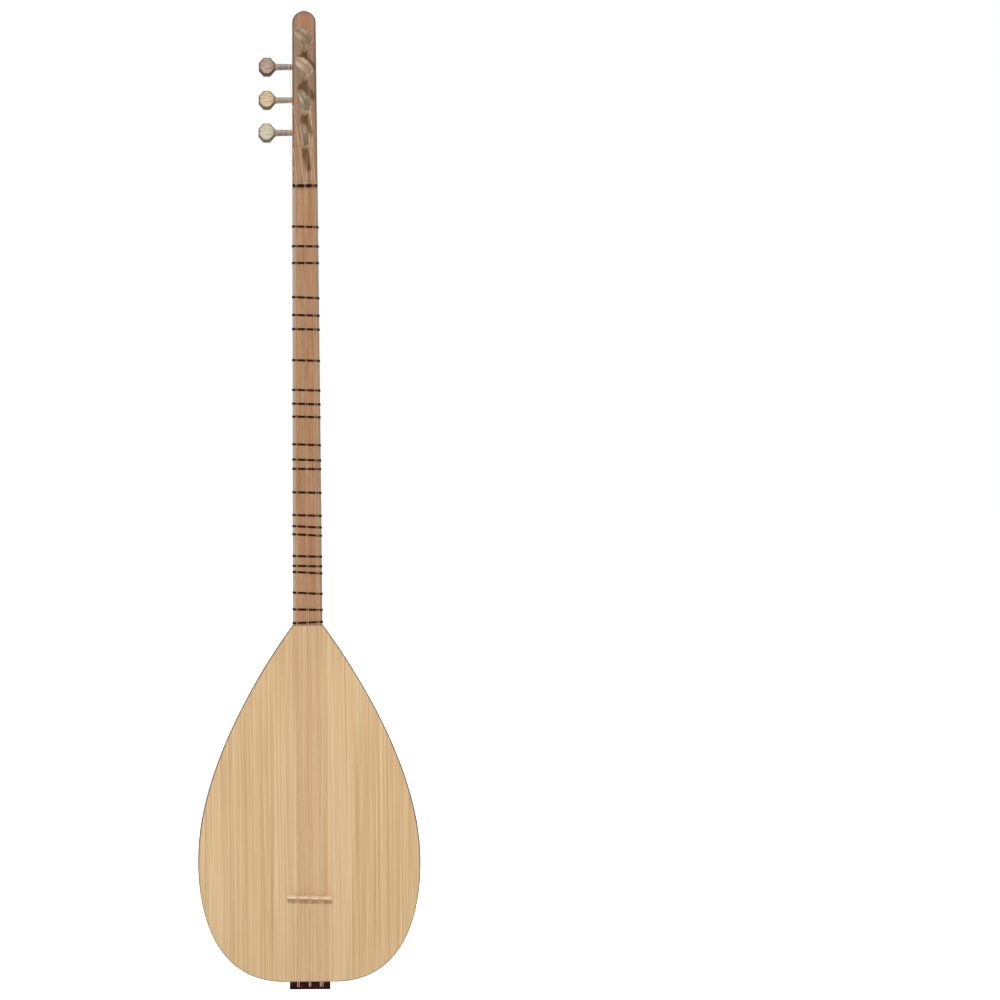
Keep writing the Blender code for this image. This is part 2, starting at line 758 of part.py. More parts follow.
def stem_radius(height):
    """Radius of a peg's stem at a height above the head's surface."""
    if height < 0:
        return PEG_RADIUS_AT_HEAD
    return PEG_RADIUS_AT_HEAD + (PEG_RADIUS_AT_COLLAR - PEG_RADIUS_AT_HEAD) * height / PEG_STEM


def peg_hole(name, seat):
    """The tapered hole that a peg turns in."""
    through = seat.bore + 2 * PEG_TIP_RECESS
    shrink = (PEG_RADIUS_AT_HEAD - PEG_RADIUS_AT_TIP) / (seat.bore - PEG_TIP_RECESS)
    mouth = PEG_RADIUS_AT_HEAD + shrink * PEG_TIP_RECESS + PEG_CLEARANCE
    end = PEG_RADIUS_AT_HEAD - shrink * through + PEG_CLEARANCE
    start = seat.place + seat.outward * PEG_TIP_RECESS
    return add_cone(name, start, -seat.outward, mouth, end, through + PEG_TIP_RECESS, PEG_SIDES)


def turned_stem(name, profile):
    """A turned solid from a profile that runs down its outer side, from the top end to the tip."""
    mesh = bpy.data.meshes.new(name)
    points = [(0, 0, profile[0][1])] + [(r, 0, z) for r, z in profile] + [(0, 0, profile[-1][1])]
    mesh.from_pydata(points, [(i, i + 1) for i in range(len(points) - 1)], [])
    stem = add_object(name, mesh, BOXWOOD)
    screw = stem.modifiers.new("Turn", "SCREW")
    screw.steps = PEG_SIDES
    screw.render_steps = PEG_SIDES
    screw.use_merge_vertices = True
    screw.merge_threshold = 0.00001
    screw.use_smooth_shade = True
    return stem


def handle_mesh(name):
    """An eight-sided flat grip whose faces lie along the peg's axis and whose rim is thinned."""
    bm = bmesh.new()
    half = HANDLE_THICKNESS / 2
    to_side = Matrix.Rotation(math.pi / 2, 4, "X") @ Matrix.Rotation(math.pi / 8, 4, "Z")
    bmesh.ops.create_cone(bm, cap_ends=True, segments=8, radius1=1, radius2=1, depth=2 * half, matrix=to_side)
    across_flats = math.cos(math.pi / 8)
    for vert in bm.verts:
        vert.co.x *= HANDLE_WIDTH / 2 / across_flats
        vert.co.z *= HANDLE_LENGTH / 2 / across_flats
    bmesh.ops.recalc_face_normals(bm, faces=bm.faces)
    faces = [face for face in bm.faces if len(face.verts) == 8]
    inset = bmesh.ops.inset_region(bm, faces=faces, thickness=HANDLE_RIM, depth=0)
    rim = {vert for face in inset["faces"] for vert in face.verts}
    rim -= {vert for face in faces for vert in face.verts}
    for vert in rim:
        vert.co.y *= 1 - HANDLE_RIM / half
    return mesh_from(name, bm)


def make_peg(name, seat):
    tip = PEG_TIP_RECESS - seat.bore
    top = PEG_STEM + HANDLE_SINK * 2
    shaft = turned_stem(
        name,
        (
            (COLLAR_RADIUS * 0.8, top),
            (COLLAR_RADIUS, PEG_STEM),
            (COLLAR_RADIUS, PEG_STEM - COLLAR_HEIGHT * 0.6),
            (PEG_RADIUS_AT_COLLAR, PEG_STEM - COLLAR_HEIGHT),
            (PEG_RADIUS_AT_HEAD, 0),
            (PEG_RADIUS_AT_TIP, tip),
        ),
    )
    shaft.matrix_world = seat.matrix()
    handle = add_object(f"{name}_handle", handle_mesh(f"{name}_handle"), None, CUTTERS)
    turn = Matrix.Rotation(seat.handle_turn, 4, "Z")
    rise = Matrix.Translation((0, 0, PEG_STEM + HANDLE_LENGTH / 2))
    handle.matrix_world = seat.matrix() @ turn @ rise
    cut(shaft, handle, "UNION")

    height = winding_height() + WINDING_START
    place = seat.matrix() @ Matrix.Rotation(winding_end_angle(), 4, "Z") @ Matrix.Translation((0, 0, height))
    direction = place.to_3x3() @ Vector((1, 0, 0))
    start = place.translation - direction * 2 * COLLAR_RADIUS
    hole = add_cone(
        f"{name}_string_hole", start, direction, STRING_HOLE_RADIUS, STRING_HOLE_RADIUS, 4 * COLLAR_RADIUS, 8
    )
    cut(shaft, hole)
    return shaft


def winding_height():
    return WINDING_PITCH * WINDING_TURNS


def winding_end_angle():
    """Where the winding stops, as an angle round the peg: the string hole faces there."""
    return 2 * math.pi * WINDING_TURNS


def winding_points(radius):
    """A helix up the tapered stem, then a short dive into the string hole."""
    steps = WINDING_TURNS * POINTS_PER_TURN
    points = []
    for i in range(steps + 1):
        angle = winding_end_angle() * i / steps
        height = WINDING_START + winding_height() * i / steps
        reach = stem_radius(height) + GAP + radius
        points.append(Vector((reach * math.cos(angle), reach * math.sin(angle), height)))
    last = points[-1].copy()
    inner = stem_radius(last.z) - 4 * radius
    points.append(Vector((inner, 0, last.z)))
    return points


def least_gap(points, radius):
    """Smallest free distance between turns of a tube: no point is compared within half a turn of itself."""
    half_turn = POINTS_PER_TURN // 2
    closest = math.inf
    for i, point in enumerate(points):
        for other in points[i + half_turn + 1 :]:
            closest = min(closest, (point - other).length)
    return closest - 2 * radius


def add_tube(name, points, radius, material, resolution):
    curve = bpy.data.curves.new(name, "CURVE")
    curve.dimensions = "3D"
    curve.bevel_depth = radius
    curve.bevel_resolution = resolution
    curve.use_fill_caps = True
    spline = curve.splines.new("POLY")
    spline.points.add(len(points) - 1)
    for target, point in zip(spline.points, points):
        target.co = (*point, 1)
    return add_object(name, curve, material)


def make_winding(name, seat, radius):
    """The turns of one string on its peg, which ride with the peg."""
    points = winding_points(radius)
    print(f"{name}: least gap to itself {least_gap(points, radius) * 1000:.2f} mm")
    winding = add_tube(name, points, radius, STEEL, 1)
    winding.matrix_world = seat.matrix()


def string_xs(spread):
    """Sideways place of the seven strings, left to right: a pair, a pair and a triple."""
    half = STRING_PITCH_IN_COURSE / 2
    return [
        -spread - half,
        -spread + half,
        -half,
        half,
        spread - 2 * half,
        spread,
        spread + 2 * half,
    ]


def head_point(x, distance, lift):
    """A point over the head's face."""
    return NUT_POINT + HEAD_UP * distance + HEAD_OUT * lift + Vector((x, 0, 0))


def speaking_points(index, radius):
    """The part of a string from its ball behind the tailpiece to the nut."""
    tail_x = string_xs(COURSE_SPREAD_AT_TAIL)[index]
    bridge_x = string_xs(COURSE_SPREAD_AT_BRIDGE)[index]
    nut_x = string_xs(COURSE_SPREAD_AT_NUT)[index]
    face = TAIL_FACE - TAIL_GROOVE_DEPTH + GAP + radius
    bend = TAIL_HOLE_RADIUS
    return [
        Vector((tail_x, TAIL_BACK + GAP, TAIL_HOLE_HEIGHT)),
        Vector((tail_x, bend - face, TAIL_HOLE_HEIGHT)),
        Vector((tail_x, bend * 0.3 - face, TAIL_HOLE_HEIGHT + bend * 0.3)),
        Vector((tail_x, -face, TAIL_HOLE_HEIGHT + bend)),
        Vector((tail_x, -face, TAIL_HEIGHT)),
        Vector((bridge_x, -STRING_OVER_BRIDGE, BRIDGE_Z)),
        Vector((nut_x, -STRING_OVER_NUT, NUT_Z)),
    ]


def front_string_points(distance, radius):
    """From the nut straight to the side of a front peg, under its first turn."""
    reach = stem_radius(WINDING_START) + GAP + radius
    lift = WINDING_START - 2 * radius - GAP
    return [head_point(reach, distance - reach, lift), head_point(reach, distance, lift)]


def side_string_points(index, distance, radius):
    """From the nut over the head's left edge, then beside it to the front of a side peg."""
    nut_x = string_xs(COURSE_SPREAD_AT_NUT)[index]
    reach = stem_radius(WINDING_START) + GAP + radius
    section = StickSection(distance)
    out_x = section.half_width + WINDING_START - 2 * radius - GAP
    drop = SIDE_PEG_INSET - reach
    across = section.half_width + nut_x
    crossing = distance * across / (across + drop + NECK_EDGE_RADIUS)
    edge = StickSection(crossing)
    clear = EDGE_LIFT + radius
    corner = edge.half_width - NECK_EDGE_RADIUS
    diagonal = (NECK_EDGE_RADIUS + clear) * math.sqrt(0.5)
    wrap = NECK_EDGE_RADIUS + clear
    return [
        head_point(-corner, crossing - wrap, clear),
        head_point(-corner - diagonal, crossing, clear - wrap + diagonal),
        head_point(-edge.half_width - clear, crossing + wrap, -NECK_EDGE_RADIUS),
        head_point(-out_x, distance - reach, -drop),
        head_point(-out_x, distance, -drop),
    ]


def make_strings_and_pegs():
    """Each string from left to right, the peg it goes to and its turns on that peg."""
    pegs = [("side", number) for number in range(len(SIDE_PEG_SPOTS), 0, -1)]
    pegs += [("front", number) for number in range(len(FRONT_PEG_SPOTS), 0, -1)]
    for index, (row, number) in enumerate(pegs):
        radius = WOUND_STRING_RADIUS if index in WOUND_STRINGS else PLAIN_STRING_RADIUS
        if row == "side":
            distance = SIDE_PEG_SPOTS[number - 1]
            seat = side_peg_seat(distance)
            to_peg = side_string_points(index, distance, radius)
        else:
            distance = FRONT_PEG_SPOTS[number - 1]
            seat = front_peg_seat(distance, number)
            to_peg = front_string_points(distance, radius)
        make_peg(f"{row}_peg_{number}", seat)
        make_winding(f"{row}_winding_{number}", seat, radius)
        add_tube(f"string_{index + 1}", speaking_points(index, radius) + to_peg, radius, STEEL, 2)


def make_saz():
    make_bowl()
    make_soundboard()
    make_brace("upper_brace", UPPER_BRACE_DROP)
    make_brace("lower_brace", LOWER_BRACE_DROP)
    make_neck()
    make_fingerboard()
    make_head()
    make_nut()
    make_bridge()
    make_tailpiece()
    for number, distance in enumerate(fret_distances(), 1):
        make_fret(f"fret_{number:02d}", distance)
    make_strings_and_pegs()


make_saz()
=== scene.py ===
"""A long-neck saz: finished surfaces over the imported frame, a plain pale studio and the photograph's camera.

Metres, in the frame's own axes: +Z up the neck, -Y out of the soundboard, +X to the right from the front.
"""

import math

import bmesh
import bpy
from mathutils import Matrix, Vector


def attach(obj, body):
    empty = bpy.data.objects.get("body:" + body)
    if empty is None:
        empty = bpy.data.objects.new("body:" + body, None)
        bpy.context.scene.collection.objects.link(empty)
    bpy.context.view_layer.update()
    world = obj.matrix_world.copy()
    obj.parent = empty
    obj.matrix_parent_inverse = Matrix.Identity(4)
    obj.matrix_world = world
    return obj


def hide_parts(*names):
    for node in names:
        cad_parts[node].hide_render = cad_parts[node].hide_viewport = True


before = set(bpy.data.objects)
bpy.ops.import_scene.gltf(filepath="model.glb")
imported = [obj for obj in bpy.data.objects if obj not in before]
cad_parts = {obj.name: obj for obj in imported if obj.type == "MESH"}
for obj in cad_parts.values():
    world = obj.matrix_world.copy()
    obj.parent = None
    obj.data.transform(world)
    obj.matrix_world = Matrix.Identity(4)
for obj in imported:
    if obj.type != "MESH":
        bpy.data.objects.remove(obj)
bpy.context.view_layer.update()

# Sizes that the frame was made from
GAP = 0.0003
SCALE_LENGTH = 0.825
SEMITONES = 12
JOINT_STEP = 17
LAST_FRET_MARGIN = 0.002
FRET_STEPS = (
    1.05, 1.57, 2.03, 3.02, 3.55, 3.98, 4.98, 5.99, 6.48, 6.95, 8.01, 8.62,
    8.99, 10.0, 11.04, 11.58, 11.98, 13.07, 13.59, 13.95, 15.13, 16.13, 16.96,
)
BRIDGE_SETBACK = 0.0133
BRIDGE_TO_TAIL = 0.1007
TAIL_HEIGHT = 0.0085
JOINT_TO_NUT = SCALE_LENGTH * (1 - 2 ** (-JOINT_STEP / SEMITONES)) + LAST_FRET_MARGIN
BODY_LENGTH = SCALE_LENGTH + BRIDGE_SETBACK - JOINT_TO_NUT + BRIDGE_TO_TAIL
JOINT_Z = TAIL_HEIGHT + GAP + BODY_LENGTH
NUT_Z = JOINT_Z + JOINT_TO_NUT
BRIDGE_Z = NUT_Z - SCALE_LENGTH - BRIDGE_SETBACK

JOINT_HALF_WIDTH = 0.0175
SHOULDER_REACH = 0.0962
SHOULDER_DROP = 0.1096
BELLY_HALF_WIDTH = 0.131
BELLY_DROP = BODY_LENGTH - 0.140
FLANK_RISE = 0.075
HIP_DROP = 0.070
TAIL_REACH = 0.106
FOOT_HALF_WIDTH = 0.030
JOINT_DEPTH = 0.0275
SHOULDER_DEPTH = 0.104
BELLY_DEPTH = 0.152
DEPTH_FALL = 0.834
DEPTH_POWER = 1.671
TAIL_DEPTH = 0.150
RIM_TUCK = math.radians(8.5)
RIM_Y = 0.0033
BOWL_WALL = 0.005
SOUNDBOARD_THICKNESS = 0.003
SOUND_HOLE_RADIUS = 0.011
SOUND_HOLE_DEPTH = 0.050
BOARD_LINE_WIDTH = 0.0009

NECK_WIDTH_AT_JOINT = 0.035
NECK_WIDTH_AT_NUT = 0.030
NECK_DEPTH_AT_JOINT = 0.024
NECK_DEPTH_AT_NUT = 0.0195
NECK_EDGE_RADIUS = 0.0016
BACK_ROUNDNESS = 2.3
FINGERBOARD_THICKNESS = 0.003
TIE_HALF_WIDTH = 0.00062
TIE_HALF_RISE = 0.00029
TIE_ROOM = 0.00016
FRET_TILTS = (2, 1, 0.5, 3, 2, 1.5, 2, 2, 2, 2, 2.5, 2.5, 1, 1.5, 2, 3.5, 3.5, 2, 1.5, 3.5, 3, 1.5, -2)
NUT_THICKNESS = 0.0025
NUT_RISE = 0.0026
NUT_NOTCH_FLOOR = 0.0024
NUT_NOTCH_RADIUS = 0.0006
NUT_SHOULDER = 0.006
SCARF_ANGLE = math.radians(28)
HEAD_TILT = math.radians(14)
BEND_SPAN = 0.050
HEAD_WIDTH = 0.0285
HEAD_DEPTH = 0.0205
HEAD_END_MARGIN = 0.053
FRONT_PEG_SPOTS = (0.179, 0.1398, 0.0944, 0.050)
SIDE_PEG_SPOTS = (0.1613, 0.1167, 0.0734)
HEAD_LENGTH = FRONT_PEG_SPOTS[0] + HEAD_END_MARGIN
SIDE_PEG_INSET = 0.0095

PEG_RADIUS_AT_HEAD = 0.0033
PEG_RADIUS_AT_TIP = 0.0029
PEG_RADIUS_AT_COLLAR = 0.0037
PEG_STEM = 0.021
PEG_TIP_RECESS = 0.007
COLLAR_RADIUS = 0.0046
COLLAR_HEIGHT = 0.002
HANDLE_WIDTH = 0.0235
HANDLE_LENGTH = 0.0195
HANDLE_THICKNESS = 0.007
HANDLE_BORDER = 0.0018
HANDLE_RIM_SHARE = 0.6
FRONT_HANDLE_TURNS = (53, 50, 25, 10)

PLAIN_STRING_RADIUS = 0.00013
WOUND_STRING_RADIUS = 0.00022
WOUND_STRINGS = (0, 2, 4)
STRING_OVER_NUT = 0.0026
STRING_OVER_BRIDGE = 0.0081
STRING_PITCH_IN_COURSE = 0.0017
SPREAD_AT_NUT = 0.0102
SPREAD_AT_BRIDGE = 0.0136
SPREAD_AT_TAIL = 0.0137
WINDING_START = 0.0045
PLAIN_COIL_TURNS = 22.0
WOUND_COIL_TURNS = 19.0
EDGE_LIFT = 0.0004

BRIDGE_WIDTH = 0.0535
BRIDGE_HEIGHT = 0.0082
BRIDGE_FOOT = 0.007
BRIDGE_ARCH = 0.0036
BRIDGE_CROWN = 0.0004
BRIDGE_HALF_THICKNESS = 0.002
BRIDGE_THINNING = 0.0011
BRIDGE_NOTCH_FLOOR = 0.00762
BRIDGE_NOTCH_RADIUS = 0.0005
BRIDGE_ASKEW = math.radians(1.8)
TAIL_WIDTH = 0.048
TAIL_FACE = 0.0012
TAIL_BACK = 0.018
TAIL_HOLE_HEIGHT = 0.003
TAIL_HOLE_RADIUS = 0.0007
TAIL_GROOVE_DEPTH = 0.0007
TWIST_START = 0.0008

HEAD_UP = Vector((0, math.sin(HEAD_TILT), math.cos(HEAD_TILT)))
HEAD_OUT = Vector((0, -math.cos(HEAD_TILT), math.sin(HEAD_TILT)))
NUT_POINT = Vector((0, 0, NUT_Z))
SHARP = math.radians(35)

# How the saz is lit and photographed
WORLD_LIGHT = 0.37
FRONT_LIGHT = 1.85
FLOOR_LIGHT = 0.62
FLOOR_Z = -0.25
CAMERA_PLACE = (0, -1.70, 0.577)
CAMERA_LENS = 51.9
CAMERA_SHIFT = 0.193
CAMERA_LEAN = math.radians(-0.37)


# Writing node trees as sums


def paint(red, green, blue):
    """A colour as a photograph shows it, 0 to 255, turned into light."""
    channels = [value / 255 for value in (red, green, blue)]
    linear = [c / 12.92 if c <= 0.04045 else ((c + 0.055) / 1.055) ** 2.4 for c in channels]
    return (*linear, 1.0)


def math_node(operation, turned=False):
    """An operator between a number in a tree and another number: it adds a Math node."""

    def worked_out(self, other):
        first, second = (other, self) if turned else (self, other)
        return self.nodes.add("ShaderNodeMath", {0: first, 1: second}, operation=operation)

    return worked_out


class Amount:
    """One number inside a node tree, so that a pattern or a shape is written as a sum."""

    def __init__(self, nodes, socket):
        self.nodes = nodes
        self.socket = socket

    __add__ = __radd__ = math_node("ADD")
    __mul__ = __rmul__ = math_node("MULTIPLY")
    __sub__ = math_node("SUBTRACT")
    __rsub__ = math_node("SUBTRACT", turned=True)
    __truediv__ = math_node("DIVIDE")
    __rtruediv__ = math_node("DIVIDE", turned=True)
    __pow__ = math_node("POWER")
    __rpow__ = math_node("POWER", turned=True)
    __gt__ = math_node("GREATER_THAN")
    least = math_node("MINIMUM")
    most = math_node("MAXIMUM")

    def alone(self, operation):
        return self.nodes.add("ShaderNodeMath", {0: self}, operation=operation)

    def __abs__(self):
        return self.alone("ABSOLUTE")

    def held(self, low=0.0, high=1.0):
        return self.most(low).least(high)

    def rise(self, low, high):
        """0 below low, 1 above high, and a soft step between them."""
        return self.nodes.add(
            "ShaderNodeMapRange", {0: self, 1: low, 2: high}, interpolation_type="SMOOTHSTEP"
        )


class Nodes:
    """Adds nodes to one tree: the type, its settings, then the values or links of its sockets."""

    def __init__(self, tree):
        self.tree = tree

    def add(self, kind, sockets=None, out=0, **settings):
        """Gives back the output called out, or all of them in a list where out is None."""
        made = self.tree.nodes.new(kind)
        for name, value in settings.items():
            setattr(made, name, value)
        for name, value in (sockets or {}).items():
            for one in value if isinstance(value, list) else [value]:
                if isinstance(one, Amount):
                    self.tree.links.new(one.socket, made.inputs[name])
                else:
                    made.inputs[name].default_value = one
        if out is None:
            return [Amount(self, output) for output in made.outputs]
        return Amount(self, made.outputs[out]) if made.outputs else None

    def vector(self, x=0.0, y=0.0, z=0.0):
        return self.add("ShaderNodeCombineXYZ", {0: x, 1: y, 2: z})

    def on_peg(self):
        """Where a point lies on its turned peg: across the grip, through it, and out along the peg."""
        return self.parts(self.add("ShaderNodeAttribute", out="Vector", attribute_name="on_peg"))

    def parts(self, vector):
        return self.add("ShaderNodeSeparateXYZ", {0: vector}, out=None)

    def place(self):
        """Where a point of the piece lies, as three numbers in metres."""
        return self.parts(self.add("ShaderNodeTexCoord", out="Object"))

    def noise(self, x=0.0, y=0.0, z=0.0, detail=2.0, roughness=0.5):
        sockets = {"Vector": self.vector(x, y, z), "Scale": 1.0, "Detail": detail, "Roughness": roughness}
        return self.add("ShaderNodeTexNoise", sockets)

    def spots(self, x, y, z, size):
        """1 in the middle of scattered spots, 0 away from them."""
        distance = self.add("ShaderNodeTexVoronoi", {"Vector": self.vector(x, y, z), "Scale": 1.0})
        return 1 - distance.rise(size * 0.2, size)

    def tint(self, first, second, amount):
        """The first colour, going over to the second. A colour is a link or three numbers up to 255."""
        first, second = (c if isinstance(c, Amount) else paint(*c) for c in (first, second))
        sockets = {"Factor": amount, 6: first, 7: second}
        return self.add("ShaderNodeMix", sockets, out=2, data_type="RGBA")

    def layers(self, color, *coats):
        """The colour with others laid over it in turn, each by its amount."""
        for tone, amount in coats:
            color = self.tint(color, tone, amount)
        return color

    def darken(self, color, amount):
        """The colour times 1 minus amount."""
        sockets = {"Factor": 1.0, 6: color, 7: self.vector(1 - amount, 1 - amount, 1 - amount)}
        return self.add("ShaderNodeMix", sockets, out=2, data_type="RGBA", blend_type="MULTIPLY")


class Finish(Nodes):
    """The node tree of one material."""

    def __init__(self, name):
        self.material = bpy.data.materials.new(name)
        self.material.use_nodes = True
        super().__init__(self.material.node_tree)
        self.tree.nodes.clear()

    def close(self, color, roughness, height, depth, gloss=0.3, coat=None, metallic=0.0):
        """Height is a pattern from 0 to 1 that rises by depth. A coat is a weight, a roughness and how
        far it bends light."""
        sockets = {
            "Base Color": color,
            "Roughness": roughness,
            "Metallic": metallic,
            "Specular IOR Level": gloss,
            "Normal": self.add("ShaderNodeBump", {"Height": height, "Distance": depth, "Strength": 1.0}),
        }
        if coat:
            sockets.update(zip(("Coat Weight", "Coat Roughness", "Coat IOR"), coat))
        shader = self.add("ShaderNodeBsdfPrincipled", sockets)
        self.add("ShaderNodeOutputMaterial", {"Surface": shader})
        return self.material


def rings(n, across, along, pitch, wander):
    """Growth rings seen as lines along the wood: near 1 in the thin dark late wood."""
    drift = n.noise(across * 12.0, 0.0, along * 2.5, detail=1.0) - 0.5
    saw = (across / pitch + drift * wander).alone("FRACT")
    return saw**3 * (1 - saw.rise(0.92, 1.0))


# Finishes


def spruce_finish():
    """Pale straight grain: fine rings, long streaks, a darker, rosier middle that is partly grime and partly
    painted shadow of the strings, painted shade towards the bottom, and a dark line round the front.
    """
    n = Finish("spruce_soundboard")
    x, y, z = n.place()
    across = x + (n.noise(x * 8, 0.0, z * 2.0, detail=1.0) - 0.5) * 0.005
    fine = n.noise(across * 440, 4.0, z * 3, detail=3.0, roughness=0.7)
    streak = n.noise(across * 170, 1.0, z * 2.2)
    broad = n.noise(x * 42, 3.0, z * 2.2)
    fade = n.noise(x * 60, 6.0, z * 6).rise(0.35, 0.65)
    ring = rings(n, across, z, 0.0036, 1.5) * fade
    # A darker, rosier band where the strings run: partly grime, partly a painted shadow of the strings.
    grime_and_string_shadow = 1 - abs(x + (n.noise(x * 30, 9.0, z * 4) - 0.5) * 0.05).rise(0.000, 0.050)
    color = n.layers(
        (227, 196, 151),
        ((198, 162, 117), fine.rise(0.34, 0.66)),
        ((211, 168, 115), streak.rise(0.48, 0.72) * 0.40),
        ((230, 202, 160), broad.rise(0.5, 0.7) * 0.35),
        ((192, 157, 116), (1 - broad.rise(0.3, 0.5)) * 0.22),
        ((182, 143, 102), ring * 0.34),
        ((206, 167, 133), grime_and_string_shadow * 0.28),
    )
    # Painted shade: the board is darkened towards the bottom, where it stands for less light falling there.
    color = n.darken(color, (1 - z.rise(0.0, 0.4)) * 0.07)
    line = n.add("ShaderNodeAttribute", out="Fac", attribute_name="rim")
    color = n.tint(color, (84, 74, 62), line.most(y.rise(0.00005, 0.00030)) * 0.85)
    return n.close(color, 0.44 + streak * 0.1, fine * 0.5 + ring * 0.5, 0.00004)


def bowl_finish():
    """Stained and lacquered wood: planks, dark rings and small burls, dyed dark round its middle."""
    n = Finish("stained_bowl")
    x, y, z = n.place()
    drawn_in = 1 + (1 - z.rise(0.0, 0.260)) * 0.28
    bend = (n.noise(x * 9, y * 5, z * 5, detail=1.0) - 0.5) * 0.018
    wave = (n.noise(x * 34, y * 14, z * 34) - 0.5) * 0.0042
    across = x * drawn_in + bend + wave
    clear = n.noise(x * 16, y * 10, z * 9).rise(0.38, 0.62)
    ring = rings(n, across, z, 0.0033, 1.4) * (0.15 + clear * 0.85) * (1 - z.rise(0.12, 0.26) * 0.6)
    fine = n.noise(across * 700, y * 50, z * 9, detail=3.0, roughness=0.65)
    patch = n.noise(x * 17, y * 11, z * 12, detail=4.0, roughness=0.6)
    mottle = n.noise(x * 120, y * 90, z * 150, detail=3.0, roughness=0.6)
    burl = n.spots(x * 22 + wave * 260, y * 9, z * 17 + mottle * 0.9, 0.27)

    wander = (n.noise(z * 7, 3.0, 0.0) - 0.5) * 0.006
    plank = 0.0
    seam = 0.0
    for place, change in ((-0.085, 0.55), (-0.047, -0.35), (0.014, 0.45), (0.050, -0.6), (0.094, -0.2)):
        beyond = x - place + wander
        plank = plank + beyond.rise(-0.0008, 0.0008) * change
        seam = seam + 1 - abs(beyond).rise(0.0002, 0.0016)
    faded = n.noise(x * 20, 5.0, z * 11, detail=1.0).rise(0.42, 0.6)

    deep = BELLY_DEPTH - DEPTH_FALL * (z - JOINT_Z + BELLY_DROP).most(0.0) ** DEPTH_POWER
    round_share = y / deep - z.rise(0.200, 0.360) * 0.05 - (1 - z.rise(0.040, 0.140)) * 0.10
    round_share = round_share + z.rise(0.380, 0.450) * 0.25
    side = 1 - (round_share + x * 0.8).rise(0.45, 1.08)
    foot = 1 - z.rise(0.015, 0.150)
    shoulder = z.rise(0.350, 0.465)
    stain = 1 - (1 - side.held() * 0.95) * (1 - foot) * (1 - shoulder * 0.85)

    color = n.layers(
        (190, 124, 50),
        ((134, 78, 27), patch.rise(0.3, 0.7)),
        ((206, 142, 68), (plank * faded).held() * 0.7),
        ((192, 130, 78), z.rise(0.220, 0.340) * (1 - abs(x).rise(0.02, 0.06)) * 0.55),
        ((70, 32, 9), (ring * 1.15).held()),
        ((88, 45, 13), fine.rise(0.42, 0.70) * 0.7),
        ((88, 43, 12), mottle.rise(0.53, 0.68) * (0.5 - z.rise(0.140, 0.260) * 0.35)),
        ((60, 27, 9), burl * patch.rise(0.46, 0.62) * 0.55),
        ((86, 44, 16), seam.held() * faded * 0.5),
    )
    dye = n.tint((112, 44, 7), (33, 6, 1), stain.rise(0.4, 1.0))
    color = n.tint(color, dye, stain * 0.95)
    shine = 0.02 + z.rise(0.050, 0.130) * 0.26 + z.rise(0.200, 0.340) * 0.40 - z.rise(0.370, 0.440) * 0.56
    between = round_share.rise(0.30, 0.50) * (1 - round_share.rise(0.70, 0.90))
    lacquer = (shine * (1 - between * 0.65), 0.14, 1.27)
    return n.close(color, 0.35 + fine * 0.1, ring * 0.6 + fine * 0.4, 0.0001, 0.0, lacquer)


def golden_wood(n, x, y, z, behind):
    """The lacquered wood of the neck and of the head's back, browner along its edges."""
    across = x + (n.noise(x * 30, y * 20, z * 7) - 0.5) * 0.004
    streak = n.noise(across * 420, y * 300, z * 7, detail=3.0, roughness=0.6)
    fleck = n.noise(across * 1700, y * 1500, z * 160)
    broad = n.noise(x * 90, y * 70, z * 5)
    color = n.layers(
        (212, 172, 130),
        ((184, 139, 94), streak.rise(0.3, 0.72)),
        ((204, 150, 96), broad.rise(0.48, 0.75) * 0.5),
        ((148, 104, 66), fleck.rise(0.58, 0.8) * 0.4),
    )
    edge = 1 - behind.rise(0.0020, 0.0095)
    color = n.tint(color, (112, 80, 54), edge * 0.62)
    return color, streak, fleck


def front_wood(n, x, z):
    """The reddish, finely streaked wood of the fingerboard and of the head's front."""
    across = x + (n.noise(x * 40, 2.0, z * 18) - 0.5) * 0.004
    streak = n.noise(across * 420, 5.0, z * 9, detail=3.0, roughness=0.6)
    red = n.noise(across * 210, 7.0, z * 14)
    grey = n.noise(x * 110, 8.0, z * 20)
    mottle = n.noise(x * 260, 4.0, z * 90, detail=3.0, roughness=0.6)
    color = n.layers(
        (186, 143, 105),
        ((150, 106, 72), streak.rise(0.3, 0.7)),
        ((182, 113, 80), red.rise(0.55, 0.75) * 0.45),
        ((172, 142, 112), grey.rise(0.5, 0.72) * 0.5),
        ((128, 88, 58), mottle.rise(0.54, 0.78) * 0.4),
    )
    return color, streak, mottle


def behind_head(y, z):
    """How far a point lies behind the head's tilted front."""
    return (y - (z - NUT_Z) * math.tan(HEAD_TILT)) * math.cos(HEAD_TILT)


def neck_finish():
    """Golden wood behind, and the facing's colour on the small front between nut and head."""
    n = Finish("golden_neck")
    x, y, z = n.place()
    color, streak, fleck = golden_wood(n, x, y, z, y)
    joint = 1 - abs(z - JOINT_Z).rise(0.0, 0.0012)
    color = n.tint(color, (52, 26, 12), joint * 0.8)
    face = n.darken(front_wood(n, x, z)[0], 0.20)
    facing = (z > NUT_Z) * (1 - behind_head(y, z).rise(0.0008, 0.0024))
    color = n.tint(color, face, facing)
    lacquer = ((0.15 + y.rise(0.004, 0.014) * 0.75) * (1 - facing), 0.12, 1.6)
    return n.close(color, 0.4 + streak * 0.08, streak * 0.5 + fleck * 0.5, 0.00003, 0.12, lacquer)


